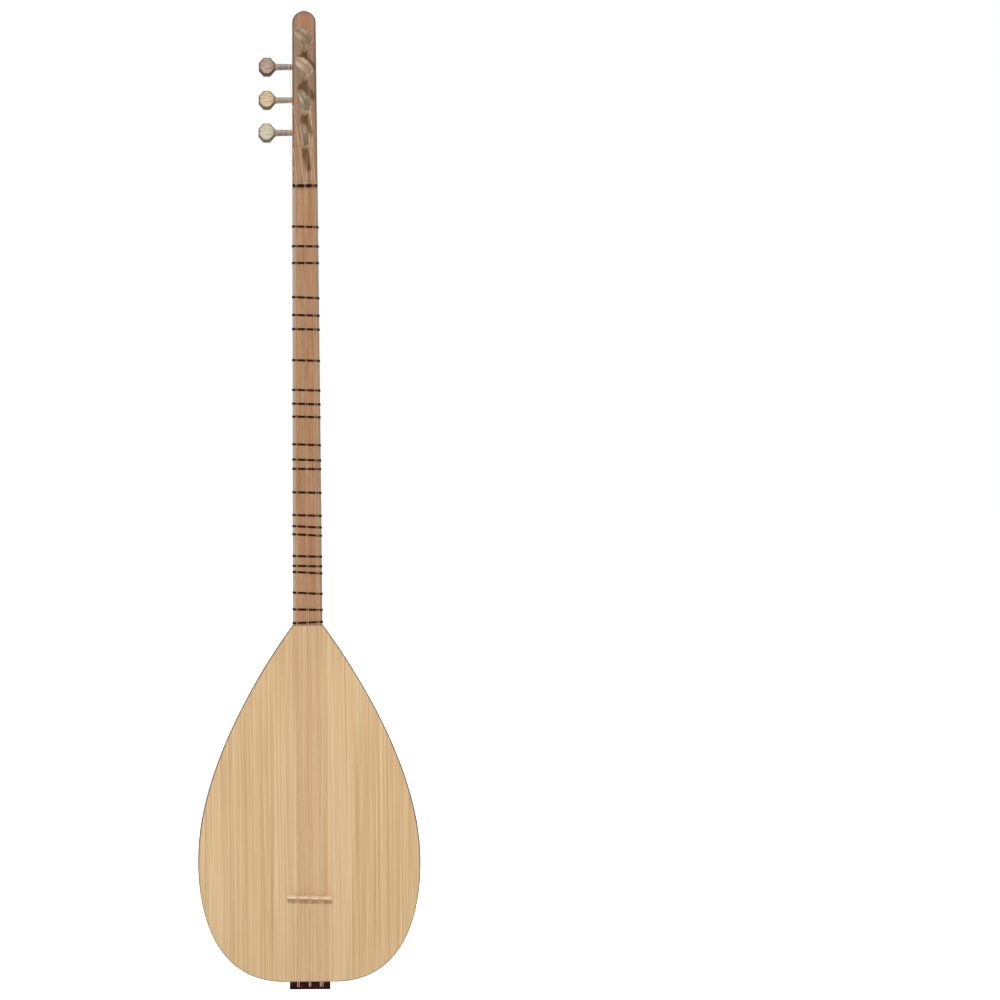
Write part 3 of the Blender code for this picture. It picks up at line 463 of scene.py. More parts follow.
def fingerboard_finish():
    """The facing under the strings, paler along its handled edges from wear, with a painted highlight on its
    left edge and painted shade on its right edge.
    """
    n = Finish("fingerboard_wood")
    x, y, z = n.place()
    color, streak, mottle = front_wood(n, x, z)
    wear_and_shade_mottle = n.noise(x * 70, 8.0, z * 16)
    color = n.tint(color, (194, 154, 118), wear_and_shade_mottle.rise(0.5, 0.78) * 0.5)
    edge = (NECK_WIDTH_AT_NUT + (NUT_Z - z) * (NECK_WIDTH_AT_JOINT - NECK_WIDTH_AT_NUT) / JOINT_TO_NUT) / 2
    # Left edge: worn paler wood together with a painted highlight, as light from the left falls on the rounded
    # edge.
    color = n.tint(color, (182, 163, 142), (0.0 - x - edge).rise(-0.0042, -0.0026) * 0.85)
    # Right edge: painted shade, the rounded edge turned away from the light.
    color = n.tint(color, (150, 130, 110), (x - edge).rise(-0.0034, -0.0020) * 0.75)
    return n.close(color, 0.44 + mottle * 0.12, streak * 0.5 + mottle * 0.5, 0.00004)


def head_finish():
    """The facing's wood on the flat front, with painted shadow of the pegs on it, darker round its rim, and
    lacquered wood behind.
    """
    n = Finish("head_wood")
    x, y, z = n.place()
    behind = behind_head(y, z)
    back, streak, _ = golden_wood(n, x, y, z, behind)
    face, _, mottle = front_wood(n, x, z)
    face = n.darken(face, 0.20)
    along = z * HEAD_UP.z + y * HEAD_UP.y - NUT_Z * HEAD_UP.z
    tip = along.rise(HEAD_LENGTH - 0.022, HEAD_LENGTH - 0.004)
    back = n.tint(back, (104, 72, 50), tip * 0.8)
    # Painted shadow of the pegs: a mottled darker brown on the front where the pegs stand.
    peg_shadow_mottle = n.noise(x * 70, 3.0, z * 45).rise(0.4, 0.7)
    pegs = along.rise(0.075, 0.130) * (1 - along.rise(0.185, 0.205))
    face = n.tint(face, (124, 98, 70), pegs * (0.3 + peg_shadow_mottle * 0.4))
    from_dome = along - HEAD_LENGTH + 0.0125
    blush = 1 - (x * x + from_dome * from_dome).alone("SQRT").rise(0.003, 0.010)
    face = n.tint(face, (180, 108, 64), blush * 0.45)
    beyond = (along - (HEAD_LENGTH - HEAD_WIDTH / 2)).most(0.0)
    reach = (x * x + beyond * beyond).alone("SQRT")
    half = NECK_WIDTH_AT_NUT / 2 - along * (NECK_WIDTH_AT_NUT - HEAD_WIDTH) / 2 / HEAD_LENGTH
    rim = (reach - half).rise(-0.0034, -0.0014) * (0.35 + along.rise(0.02, 0.09) * 0.5)
    face = n.tint(face, (104, 84, 68), rim)
    turned = behind.rise(0.0006, 0.0018)
    color = n.tint(face, back, turned)
    lacquer = (turned * (0.15 + behind.rise(0.004, 0.012) * 0.75), 0.12, 1.6)
    return n.close(color, 0.42 + streak * 0.05, streak * 0.4 + mottle * 0.6, 0.00004, 0.15, lacquer)


def peg_finish(name, light, dark, spot, rim, rim_share):
    """Boxwood with soft grain along the peg, handled spots, painted shade as a darker rim round the grip and a
    dark band on the stem under the collar, and a dark tip painted as shade in its hole.
    """
    n = Finish(name)
    across, thick, height = n.on_peg()
    streak = n.noise(across * 420, thick * 420, height * 90, detail=3.0, roughness=0.6)
    stain = n.noise(across * 230, thick * 230, height * 260)
    speck = n.noise(across * 900, thick * 900, height * 900)
    wood = n.layers(
        light,
        (dark, streak.rise(0.32, 0.7)),
        (spot, stain.rise(0.48, 0.7) * 0.7),
        ((110, 80, 56), speck.rise(0.6, 0.78) * 0.45),
    )
    stem = n.tint((216, 196, 166), (182, 156, 124), streak.rise(0.3, 0.7))
    # Painted shadow on the stem just under the collar.
    stem = n.tint(stem, (116, 92, 78), height.rise(PEG_STEM - 0.0030, PEG_STEM - 0.0008) * 0.6)
    grip = height.rise(PEG_STEM - 0.0004, PEG_STEM + 0.0012)
    color = n.tint(stem, wood, grip)
    wide = abs(across) / (HANDLE_WIDTH / 2)
    tall = abs(height - PEG_STEM - HANDLE_LENGTH / 2) / (HANDLE_LENGTH / 2)
    reach = wide.most(tall).most((wide + tall) / math.sqrt(2))
    # Painted shade on the grip's chamfered rim, its strength varied by a mottling noise.
    wear_and_shade_mottle = n.noise(across * 300, thick * 100, height * 300).rise(0.3, 0.65)
    color = n.tint(color, rim, reach.rise(0.76, 0.92) * grip * rim_share * (0.75 + wear_and_shade_mottle * 0.25))
    # Painted shade on the tip that sits in its hole.
    shade = 1 - height.rise(-0.0100, -0.0060)
    color = n.tint(color, (40, 20, 12), shade * 0.9)
    return n.close(color, 0.4 + streak * 0.12, streak, 0.00004)


def bridge_finish():
    """Bare pale wood with grain along the bridge."""
    n = Finish("pale_bridge")
    x, y, z = n.place()
    streak = n.noise(x * 60, y * 900, z * 900, detail=3.0)
    pore = n.noise(x * 500, y * 1500, z * 1500)
    color = n.tint((236, 211, 184), (214, 184, 154), streak.rise(0.3, 0.7))
    color = n.tint(color, (190, 156, 124), pore.rise(0.58, 0.75) * 0.4)
    return n.close(color, 0.55, streak, 0.00004, 0.25)


def tailpiece_finish():
    """Nearly black red hardwood with lighter patches."""
    n = Finish("dark_red_tailpiece")
    x, y, z = n.place()
    streak = n.noise(x * 90, y * 260, z * 1100, detail=3.0, roughness=0.6)
    patch = n.noise(x * 260, y * 90, z * 160)
    color = n.tint((56, 19, 14), (22, 7, 5), streak.rise(0.32, 0.68))
    color = n.tint(color, (116, 58, 46), patch.rise(0.56, 0.74) * 0.6)
    polish = (0.1 + patch * 0.1, 0.15, 1.25)
    return n.close(color, 0.38 + streak * 0.1, streak, 0.00004, 0.03, polish)


def nut_finish():
    """Black polished hardwood with fine scratches."""
    n = Finish("black_nut")
    x, y, z = n.place()
    scratch = n.noise(x * 200, y * 1200, z * 1200)
    color = n.tint((10, 5, 3), (32, 18, 12), scratch.rise(0.5, 0.8))
    return n.close(color, 0.4 + scratch * 0.15, scratch, 0.00003, 0.05)


def tie_finish():
    """Dark brown fret cord, slightly twisted."""
    n = Finish("nylon_tie")
    x, y, z = n.place()
    twist = n.noise(x * 900, y * 900, z * 2600)
    wear_and_shade_mottle = n.noise(x * 160, y * 160, z * 40)
    color = n.tint((66, 30, 9), (30, 11, 3), twist.rise(0.3, 0.7))
    color = n.tint(color, (98, 52, 20), wear_and_shade_mottle.rise(0.55, 0.75) * 0.4)
    return n.close(color, 0.6 + twist * 0.1, twist, 0.00004, 0.03)


def string_finish(name, light, dark):
    """Tarnished wire, brighter where it is wound back on itself over the tailpiece."""
    n = Finish(name)
    x, y, z = n.place()
    wrap = n.noise(x * 300, y * 300, z * 3600, detail=1.0)
    tarnish = n.noise(x * 60, y * 60, z * 40)
    color = n.tint(light, dark, wrap.rise(0.35, 0.65) * 0.6 + tarnish.rise(0.4, 0.7) * 0.4)
    color = n.tint(color, (246, 214, 202), 1 - z.rise(0.0085, 0.0110))
    return n.close(color, 0.3 + tarnish * 0.15, wrap, 0.00002, 0.5, metallic=0.9)


def coil_finish(name, light, dark):
    """Wire on a peg: bright turns with dark bands, painted shade standing for the gaps between them, and
    tarnished flecks.
    """
    n = Finish(name)
    across, thick, height = n.on_peg()
    # Painted shade: dark bands along the coil stand for the shaded gaps between its turns.
    band = n.noise(height * 700, 2.0, 0.0, detail=1.0)
    color = n.tint(light, dark, band.rise(0.38, 0.58) * 0.95)
    fleck = n.noise(across * 1400, thick * 1400, height * 1400)
    color = n.tint(color, (120, 100, 92), fleck.rise(0.55, 0.75) * 0.35)
    return n.close(color, 0.3 + band * 0.15, fleck, 0.00002, 0.5, metallic=0.9)


SPRUCE = spruce_finish()
STAINED_BOWL = bowl_finish()
GOLDEN_NECK = neck_finish()
FINGERBOARD_WOOD = fingerboard_finish()
HEAD_WOOD = head_finish()

# Each peg's wood, with its light and dark grain, its spots, the colour of its rim's painted shade and how
# strongly the rim shows
PEG_TONES = {
    "front_1": ("olive_boxwood", (196, 168, 130), (158, 130, 96), (180, 146, 106), (136, 108, 80), 0.8),
    "front_2": ("pale_boxwood", (224, 198, 162), (190, 162, 126), (206, 168, 130), (164, 132, 102), 0.8),
    "front_3": ("green_boxwood", (192, 174, 138), (138, 124, 90), (206, 178, 150), (112, 98, 68), 0.8),
    "front_4": ("brown_boxwood", (190, 166, 134), (150, 124, 94), (168, 134, 100), (122, 98, 72), 0.8),
    "side_1": ("rosy_boxwood", (180, 154, 134), (120, 94, 78), (160, 100, 92), (58, 48, 40), 0.95),
    "side_2": ("yellow_boxwood", (212, 190, 152), (164, 140, 106), (206, 164, 108), (70, 62, 46), 0.9),
    "side_3": ("cream_boxwood", (208, 198, 170), (164, 154, 130), (182, 172, 144), (76, 70, 56), 0.85),
}
PEG_WOODS = {peg: peg_finish(*tones) for peg, tones in PEG_TONES.items()}
PALE_BRIDGE = bridge_finish()
DARK_TAILPIECE = tailpiece_finish()
BLACK_NUT = nut_finish()
NYLON_TIE = tie_finish()
PLAIN_STEEL = string_finish("plain_string", (228, 206, 178), (196, 172, 144))
WOUND_STEEL = string_finish("wound_string", (214, 182, 142), (176, 142, 104))
GREY_COIL = coil_finish("grey_coil", (194, 186, 188), (92, 82, 90))
WARM_COIL = coil_finish("warm_coil", (220, 200, 168), (164, 138, 108))


# Making pieces


def part_way(first, last, share):
    return first + (last - first) * share


def smoothed(mesh):
    mesh.shade_smooth()
    mesh.set_sharp_from_angle(angle=SHARP)
    return mesh


def opened(mesh):
    bm = bmesh.new()
    bm.from_mesh(mesh)
    return bm


def shut(bm, mesh):
    bm.to_mesh(mesh)
    bm.free()


def mesh_from(name, bm):
    bmesh.ops.recalc_face_normals(bm, faces=bm.faces)
    mesh = bpy.data.meshes.new(name)
    shut(bm, mesh)
    return smoothed(mesh)


def line_mesh(points, closed=False):
    """Points joined by edges, as a path for a tree or a modifier."""
    mesh = bpy.data.meshes.new("line")
    edges = [(i, (i + 1) % len(points)) for i in range(len(points) - (not closed))]
    mesh.from_pydata(points, edges, [])
    return mesh


def add_object(name, data):
    item = bpy.data.objects.new(name, data)
    bpy.context.scene.collection.objects.link(item)
    return item


def settled(item):
    """The item as a plain mesh with its modifiers and its place worked in. The item itself goes."""
    bpy.context.view_layer.update()
    graph = bpy.context.evaluated_depsgraph_get()
    mesh = bpy.data.meshes.new_from_object(item.evaluated_get(graph), depsgraph=graph)
    mesh.transform(item.matrix_world)
    name = item.name
    bpy.data.objects.remove(item)
    mesh.name = name
    return mesh


def add_piece(name, mesh, body, material, slot, *nodes):
    """A finished piece: its mesh in place, riding a body and standing for the frame's nodes."""
    if material:
        mesh.materials.clear()
        mesh.materials.append(material)
    piece = add_object(name, mesh)
    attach(piece, body)
    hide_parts(*nodes)


def soften(item, width, segments=2, degrees=40):
    bevel = item.modifiers.new("Edge", "BEVEL")
    bevel.width = width
    bevel.segments = segments
    bevel.limit_method = "ANGLE"
    bevel.angle_limit = math.radians(degrees)


def cut(item, cutter, operation="DIFFERENCE"):
    boolean = item.modifiers.new(cutter.name, "BOOLEAN")
    boolean.object = cutter
    boolean.operation = operation


def cut_away(item, cutters):
    """The item's plain mesh after its cutters. The cutters go too."""
    for cutter in cutters:
        cut(item, cutter)
    mesh = settled(item)
    for cutter in cutters:
        bpy.data.objects.remove(cutter)
    return smoothed(mesh)


def box_object(name, low, high):
    bm = bmesh.new()
    bmesh.ops.create_cube(bm, size=1)
    for vert in bm.verts:
        vert.co = Vector(part_way(low[i], high[i], vert.co[i] + 0.5) for i in range(3))
    return add_object(name, mesh_from(name, bm))


def rod_object(name, base, direction, length, radius, end_radius=None, sides=32):
    """A round rod, or a cone where its far end has a radius of its own."""
    bm = bmesh.new()
    end_radius = radius if end_radius is None else end_radius
    turn = Vector((0, 0, 1)).rotation_difference(Vector(direction)).to_matrix().to_4x4()
    half_side = Matrix.Rotation(math.pi / sides, 4, "Z")
    place = Matrix.Translation(base) @ turn @ half_side @ Matrix.Translation((0, 0, length / 2))
    bmesh.ops.create_cone(
        bm, cap_ends=True, segments=sides, radius1=radius, radius2=end_radius, depth=length, matrix=place
    )
    return add_object(name, mesh_from(name, bm))


def loft(name, ring_list):
    bm = bmesh.new()
    rows = [[bm.verts.new(point) for point in ring] for ring in ring_list]
    bm.faces.new(rows[0])
    bm.faces.new(rows[-1])
    for lower, upper in zip(rows, rows[1:]):
        for i in range(len(lower)):
            j = (i + 1) % len(lower)
            bm.faces.new((lower[i], lower[j], upper[j], upper[i]))
    return mesh_from(name, bm)


# Shapes made by node trees


class Shape(Nodes):
    """A tree that makes one kind of piece, with a named input for each size. A size is a number, a
    whole number or a point."""

    def __init__(self, name, sizes):
        super().__init__(bpy.data.node_groups.new(name, "GeometryNodeTree"))
        kinds = {float: "Float", int: "Int", tuple: "Vector"}
        self.name_socket("Geometry", "Geometry")
        self.name_socket("Finish", "Material")
        for label, value in sizes.items():
            self.name_socket(label, kinds[type(value)]).default_value = value
        self.name_socket("Geometry", "Geometry", "OUTPUT")
        self.size = {given.socket.name: given for given in self.add("NodeGroupInput", out=None)}

    def name_socket(self, label, kind, side="INPUT"):
        return self.tree.interface.new_socket(label, in_out=side, socket_type=f"NodeSocket{kind}")

    def wire(self, path, radius, sides):
        circle = self.add("GeometryNodeCurvePrimitiveCircle", {"Resolution": sides, "Radius": radius})
        sockets = {"Curve": path, "Profile Curve": circle, "Fill Caps": True}
        return self.add("GeometryNodeCurveToMesh", sockets)

    def spiral(self, start, resolution, turns, start_radius, end_radius, height, reverse=False):
        sockets = {
            "Resolution": resolution,
            "Rotations": turns,
            "Start Radius": start_radius,
            "End Radius": end_radius,
            "Height": height,
            "Reverse": reverse,
        }
        return self.moved(self.add("GeometryNodeCurveSpiral", sockets), Translation=start)

    def moved(self, shape, **how):
        return self.add("GeometryNodeTransform", {"Geometry": shape, **how})

    def joined(self, *parts):
        return self.add("GeometryNodeJoinGeometry", {"Geometry": list(parts)})

    def close(self, shape):
        """Every tree ends in plain geometry with its finish."""
        whole = self.add("GeometryNodeRealizeInstances", {"Geometry": shape})
        shaded = self.add("GeometryNodeSetShadeSmooth", {"Geometry": whole, "Shade Smooth": True})
        sockets = {"Geometry": shaded, "Material": self.size["Finish"]}
        self.add("NodeGroupOutput", {0: self.add("GeometryNodeSetMaterial", sockets)})
        return self.tree


def grown(name, tree, path=None, **sizes):
    """The plain mesh that a tree makes from a path, with its named inputs set."""
    item = add_object(name, path or bpy.data.meshes.new(name))
    modifier = item.modifiers.new("Shape", "NODES")
    modifier.node_group = tree
    for socket in tree.interface.items_tree:
        label = socket.name.replace(" ", "_").lower()
        if socket.in_out == "INPUT" and label in sizes:
            modifier[socket.identifier] = sizes[label]
    return settled(item)


def bezier(a, b, c, d, t):
    """The place t of the way along a curve with two end points, a and d, and two handles."""
    u = 1 - t
    return a * u**3 + b * (3 * u * u * t) + c * (3 * u * t * t) + d * t**3


def bowl_form_tree():
    """The bowl's outer skin: a grid whose rows are sections and whose columns run from rim to rim."""
    n = Shape(
        "bowl_form",
        {
            "Joint Half Width": JOINT_HALF_WIDTH,
            "Shoulder Reach": SHOULDER_REACH,
            "Belly Half Width": BELLY_HALF_WIDTH,
            "Tail Reach": TAIL_REACH,
            "Foot Half Width": FOOT_HALF_WIDTH,
            "Joint Depth": JOINT_DEPTH,
            "Shoulder Depth": SHOULDER_DEPTH,
            "Belly Depth": BELLY_DEPTH,
            "Tail Depth": TAIL_DEPTH,
            "Shoulder Drop": SHOULDER_DROP,
            "Belly Drop": BELLY_DROP,
            "Flank Rise": FLANK_RISE,
            "Hip Drop": HIP_DROP,
            "Length": BODY_LENGTH,
            "Top": JOINT_Z,
            "Rim": RIM_Y,
            "Last Section": 1.98,
            "Sections": 110,
            "Points": 97,
        },
    )
    size = n.size
    sockets = {"Size X": 1.0, "Size Y": 1.0, "Vertices X": size["Points"], "Vertices Y": size["Sections"]}
    grid = n.add("GeometryNodeMeshGrid", sockets)
    column, row, _ = n.parts(n.add("GeometryNodeInputPosition"))
    t = (row + 0.5) * size["Last Section"]
    upper = t.held()
    lower = (t - 1).held()
    low = t > 1.0

    def both(first, second):
        return bezier(*first, upper) * (1 - low) + bezier(*second, lower) * low

    belly, deep, far = size["Belly Half Width"], size["Belly Depth"], size["Belly Drop"]
    width = both(
        (size["Joint Half Width"], size["Shoulder Reach"], belly, belly),
        (belly, belly, size["Tail Reach"], size["Foot Half Width"]),
    )
    depth = both(
        (size["Joint Depth"], size["Shoulder Depth"], deep, deep),
        (deep, deep, size["Tail Depth"], 0.0 * deep),
    )
    drop = both(
        (0.0 * far, size["Shoulder Drop"], far - size["Flank Rise"], far),
        (far, far + size["Hip Drop"], size["Length"], size["Length"]),
    )
    tuck = math.sin(RIM_TUCK)
    start = (size["Rim"] * (1 + tuck) / depth - tuck).held(-0.95, 0.95).alone("ARCSINE")
    angle = start + (math.pi - 2 * start) * (column + 0.5)
    x = width * angle.alone("COSINE") / math.cos(RIM_TUCK)
    y = depth * (angle.alone("SINE") + tuck) / (1 + tuck)
    place = n.vector(x, y, size["Top"] - drop)
    return n.close(n.add("GeometryNodeSetPosition", {"Geometry": grid, "Position": place}))


def make_bowl():
    """The skin from the tree, closed at both ends, given its wall and its sound hole."""
    skin = grown("bowl_skin", bowl_form_tree(), finish=STAINED_BOWL)
    bm = opened(skin)
    for end in (min(v.co.z for v in bm.verts), max(v.co.z for v in bm.verts)):
        loop = sorted((v for v in bm.verts if abs(v.co.z - end) < 1e-6), key=lambda v: v.co.x)
        bm.faces.new(loop)
    bmesh.ops.recalc_face_normals(bm, faces=bm.faces)
    middle = max(bm.faces, key=lambda face: face.calc_center_median().y)
    if middle.normal.y < 0:
        bmesh.ops.reverse_faces(bm, faces=bm.faces)
    shut(bm, skin)
    bowl = add_object("bowl_shell", skin)
    wall = bowl.modifiers.new("Wall", "SOLIDIFY")
    wall.thickness = BOWL_WALL
    wall.offset = -1
    start = (0, SOUND_HOLE_DEPTH, -0.01)
    hole = rod_object("sound_hole", start, (0, 0, 1), 0.05, SOUND_HOLE_RADIUS, sides=48)
    shell = cut_away(bowl, [hole])
    add_piece("carved_bowl", shell, "saz", STAINED_BOWL, "stained_wood", "bowl")


def make_soundboard():
    """A flat curve with the bowl's own outline, given its thickness, a rounded edge and a marked line."""
    curve = bpy.data.curves.new("soundboard_outline", "CURVE")
    curve.dimensions = "2D"
    curve.fill_mode = "BOTH"
    curve.extrude = SOUNDBOARD_THICKNESS / 2
    curve.resolution_u = 48
    spline = curve.splines.new("BEZIER")
    spline.use_cyclic_u = True
    spline.bezier_points.add(5)
    belly, foot = BELLY_HALF_WIDTH, FOOT_HALF_WIDTH
    right = (
        ((JOINT_HALF_WIDTH, 0), (JOINT_HALF_WIDTH / 3, 0), (SHOULDER_REACH, SHOULDER_DROP)),
        ((belly, BELLY_DROP), (belly, BELLY_DROP - FLANK_RISE), (belly, BELLY_DROP + HIP_DROP)),
        ((foot, BODY_LENGTH), (TAIL_REACH, BODY_LENGTH), (foot / 3, BODY_LENGTH)),
    )
    left = tuple(tuple((-x, d) for x, d in (co, after, before)) for co, before, after in reversed(right))
    for point, (co, before, after) in zip(spline.bezier_points, right + left):
        point.co = (co[0], JOINT_Z - co[1], 0)
        point.handle_left = (before[0], JOINT_Z - before[1], 0)
        point.handle_right = (after[0], JOINT_Z - after[1], 0)
    board = add_object("soundboard_plate", curve)
    board.rotation_euler.x = math.pi / 2
    board.location.y = SOUNDBOARD_THICKNESS / 2
    weld = board.modifiers.new("Weld", "WELD")
    weld.merge_threshold = 0.00001
    soften(board, 0.0008, 3, degrees=50)
    mesh = settled(board)
    bm = opened(mesh)
    rim = bm.faces.layers.float.new("rim")
    front = [face for face in bm.faces if face.normal.y < -0.999]
    border = bmesh.ops.inset_region(bm, faces=front, thickness=BOARD_LINE_WIDTH, depth=0)
    for face in border["faces"]:
        face[rim] = 1.0
    shut(bm, mesh)
    add_piece("spruce_board", smoothed(mesh), "saz", SPRUCE, "spruce", "soundboard")


def smooth_step(x):
    x = max(0.0, min(1.0, x))
    return x * x * (3 - 2 * x)


class StickSection:
    """The neck and head at a distance from the nut, minus towards the body and plus up the head."""

    def __init__(self, distance):
        if distance <= 0:
            share, width, depth = -distance / JOINT_TO_NUT, NECK_WIDTH_AT_JOINT, NECK_DEPTH_AT_JOINT
            self.front = NUT_POINT + Vector((0, 0, distance))
        else:
            share, width, depth = distance / HEAD_LENGTH, HEAD_WIDTH, HEAD_DEPTH
            self.front = NUT_POINT + HEAD_UP * distance
        self.half_width = part_way(NECK_WIDTH_AT_NUT, width, share) / 2
        self.depth = part_way(NECK_DEPTH_AT_NUT, depth, share)
        end_radius = HEAD_WIDTH / 2
        beyond = (distance - HEAD_LENGTH + end_radius) / end_radius
        if beyond > 0:
            fall = math.sqrt(max(0.0, 1 - beyond * beyond))
            self.half_width = end_radius * fall
            self.depth = HEAD_DEPTH * math.sqrt(fall)
        bend = HEAD_TILT * smooth_step((distance + BEND_SPAN) / (2 * BEND_SPAN))
        self.inward = Vector((0, math.cos(bend), -math.sin(bend)))

    def outline(self, corner_steps=6, back_steps=45):
        edge = min(NECK_EDGE_RADIUS, self.half_width / 2, self.depth / 3)
        corner = []
        for i in range(corner_steps + 1):
            angle = math.pi / 2 * i / corner_steps
            corner.append((self.half_width - edge * (1 - math.sin(angle)), edge * (1 - math.cos(angle))))
        back = []
        for i in range(1, back_steps):
            angle = math.pi * i / back_steps
            across = abs(math.cos(angle)) ** (2 / BACK_ROUNDNESS)
            deep = math.sin(angle) ** (2 / BACK_ROUNDNESS)
            x = math.copysign(self.half_width * across, math.cos(angle))
            back.append((x, edge + (self.depth - edge) * deep))
        return corner + back + [(-x, y) for x, y in reversed(corner)]

    def ring(self):
        return [self.front + Vector((x, 0, 0)) + self.inward * y for x, y in self.outline()]


def stick_stations():
    neck = [GAP - JOINT_TO_NUT * (1 - i / 10) for i in range(9)]
    bend = [BEND_SPAN * (i / 8 - 1) for i in range(17)]
    end_radius = HEAD_WIDTH / 2
    head = [BEND_SPAN + (HEAD_LENGTH - end_radius - BEND_SPAN) * i / 5 for i in range(1, 5)]
    tip = [math.sin(math.radians(86) * i / 14) for i in range(15)]
    return neck + bend + head + [HEAD_LENGTH - end_radius + end_radius * share for share in tip]


def scarf_plane():
    point = NUT_POINT + HEAD_UP * NUT_SHOULDER
    return point, Vector((0, math.cos(SCARF_ANGLE), math.sin(SCARF_ANGLE)))


def kept_side(mesh, point, normal):
    """The mesh on the side that the normal points away from, closed at the cut."""
    bm = opened(mesh)
    whole = list(bm.verts) + list(bm.edges) + list(bm.faces)
    result = bmesh.ops.bisect_plane(
        bm, geom=whole, plane_co=point, plane_no=normal, clear_outer=True, dist=1e-7
    )
    rim = [part for part in result["geom_cut"] if isinstance(part, bmesh.types.BMEdge)]
    bmesh.ops.contextual_create(bm, geom=rim)
    return mesh_from(mesh.name, bm)


def make_neck(stick):
    """The neck's wood behind the fingerboard, up to the scarf joint."""
    point, normal = scarf_plane()
    neck = add_object("neck_blank", kept_side(stick, point - normal * GAP / 2, normal))
    ledge = NUT_Z + NUT_THICKNESS / 2 + GAP
    slab = box_object("fingerboard_seat", (-0.03, -0.003, JOINT_Z - 0.01), (0.03, RIM_Y, ledge))
    mesh = cut_away(neck, [slab])
    add_piece("neck_back", mesh, "saz", GOLDEN_NECK, "neck_wood", "neck")


def make_fingerboard(stick):
    end = NUT_Z - NUT_THICKNESS / 2 - GAP
    mesh = kept_side(stick, Vector((0, FINGERBOARD_THICKNESS, 0)), Vector((0, 1, 0)))
    mesh = kept_side(mesh, Vector((0, 0, end)), Vector((0, 0, 1)))
    add_piece("fingerboard_face", mesh, "saz", FINGERBOARD_WOOD, "fingerboard_wood", "fingerboard")


class PegSeat:
    """Where a peg stands. Local Z runs out along the peg and local X up the head."""

    def __init__(self, distance, turn, from_side):
        section = StickSection(distance)
        self.outward = Vector((-1, 0, 0)) if from_side else HEAD_OUT
        self.bore = 2 * section.half_width if from_side else section.depth
        self.place = section.front.copy()
        if from_side:
            self.place += -HEAD_OUT * SIDE_PEG_INSET - Vector((section.half_width, 0, 0))
        self.turn = Matrix.Rotation(math.radians(turn), 4, "Z")
        columns = Matrix((HEAD_UP, self.outward.cross(HEAD_UP), self.outward)).transposed()
        self.matrix = Matrix.Translation(self.place) @ columns.to_4x4()


def peg_hole(name, seat):
    shrink = (PEG_RADIUS_AT_HEAD - PEG_RADIUS_AT_TIP) / (seat.bore - PEG_TIP_RECESS)
    length = seat.bore + 3 * PEG_TIP_RECESS
    mouth = PEG_RADIUS_AT_HEAD + shrink * PEG_TIP_RECESS + GAP
    start = seat.place + seat.outward * PEG_TIP_RECESS
    return rod_object(name, start, -seat.outward, length, mouth, mouth - shrink * length)


def make_head(stick, seats):
    point, normal = scarf_plane()
    head = add_object("head_blank", kept_side(stick, point + normal * GAP / 2, -normal))
    holes = [peg_hole(f"hole_{number}", seat) for number, seat in enumerate(seats)]
    mesh = cut_away(head, holes)
    add_piece("tilted_head", mesh, "saz", HEAD_WOOD, "neck_wood", "head")


def string_xs(spread):
    half = STRING_PITCH_IN_COURSE / 2
    triple = (spread - 2 * half, spread, spread + 2 * half)
    return [-spread - half, -spread + half, -half, half, *triple]


def add_notches(item, floor, z, xs, radius):
    """Cuts a round groove along the strings at each x, down to floor above the soundboard's front."""
    cutters = [
        rod_object(f"notch_{number}", (x, -floor - radius, z - 0.004), (0, 0, 1), 0.008, radius, sides=16)
        for number, x in enumerate(xs)
    ]
    return cut_away(item, cutters)


def make_nut():
    half = NECK_WIDTH_AT_NUT / 2 - 0.0001
    low = (-half, -NUT_RISE, NUT_Z - NUT_THICKNESS / 2)
    nut = box_object("nut_block", low, (half, FINGERBOARD_THICKNESS, NUT_Z + NUT_THICKNESS / 2))
    soften(nut, 0.0006, 3)
    nut = add_object("nut_blank", settled(nut))
    mesh = add_notches(nut, NUT_NOTCH_FLOOR, NUT_Z, string_xs(SPREAD_AT_NUT), NUT_NOTCH_RADIUS)
    add_piece("string_nut", mesh, "saz", BLACK_NUT, "black_nut", "nut")


def bridge_outline():
    """Three feet with two arches between them, and a back with a slight crown."""
    half = BRIDGE_WIDTH / 2
    arch_half = (BRIDGE_WIDTH - 3 * BRIDGE_FOOT) / 4
    line = [(-half, 0.0), (-half + BRIDGE_FOOT, 0.0)]
    for side in (-1, 1):
        centre = side * (BRIDGE_FOOT / 2 + arch_half)
        for i in range(1, 16):
            angle = math.pi * (1 - i / 16)
            line.append((centre + arch_half * math.cos(angle), BRIDGE_ARCH * math.sin(angle)))
        line.append((centre + arch_half, 0.0))
        line.append((centre + arch_half + BRIDGE_FOOT, 0.0))
    line = line[:-1] + [(half, 0.0)]
    line = [p for i, p in enumerate(line) if i == 0 or (Vector(p) - Vector(line[i - 1])).length > 1e-5]
    for i in range(13):
        x = half - BRIDGE_WIDTH * i / 12
        crown = BRIDGE_CROWN * (1 - (x / half) ** 2)
        line.append((x, BRIDGE_HEIGHT - BRIDGE_CROWN + crown))
    return line


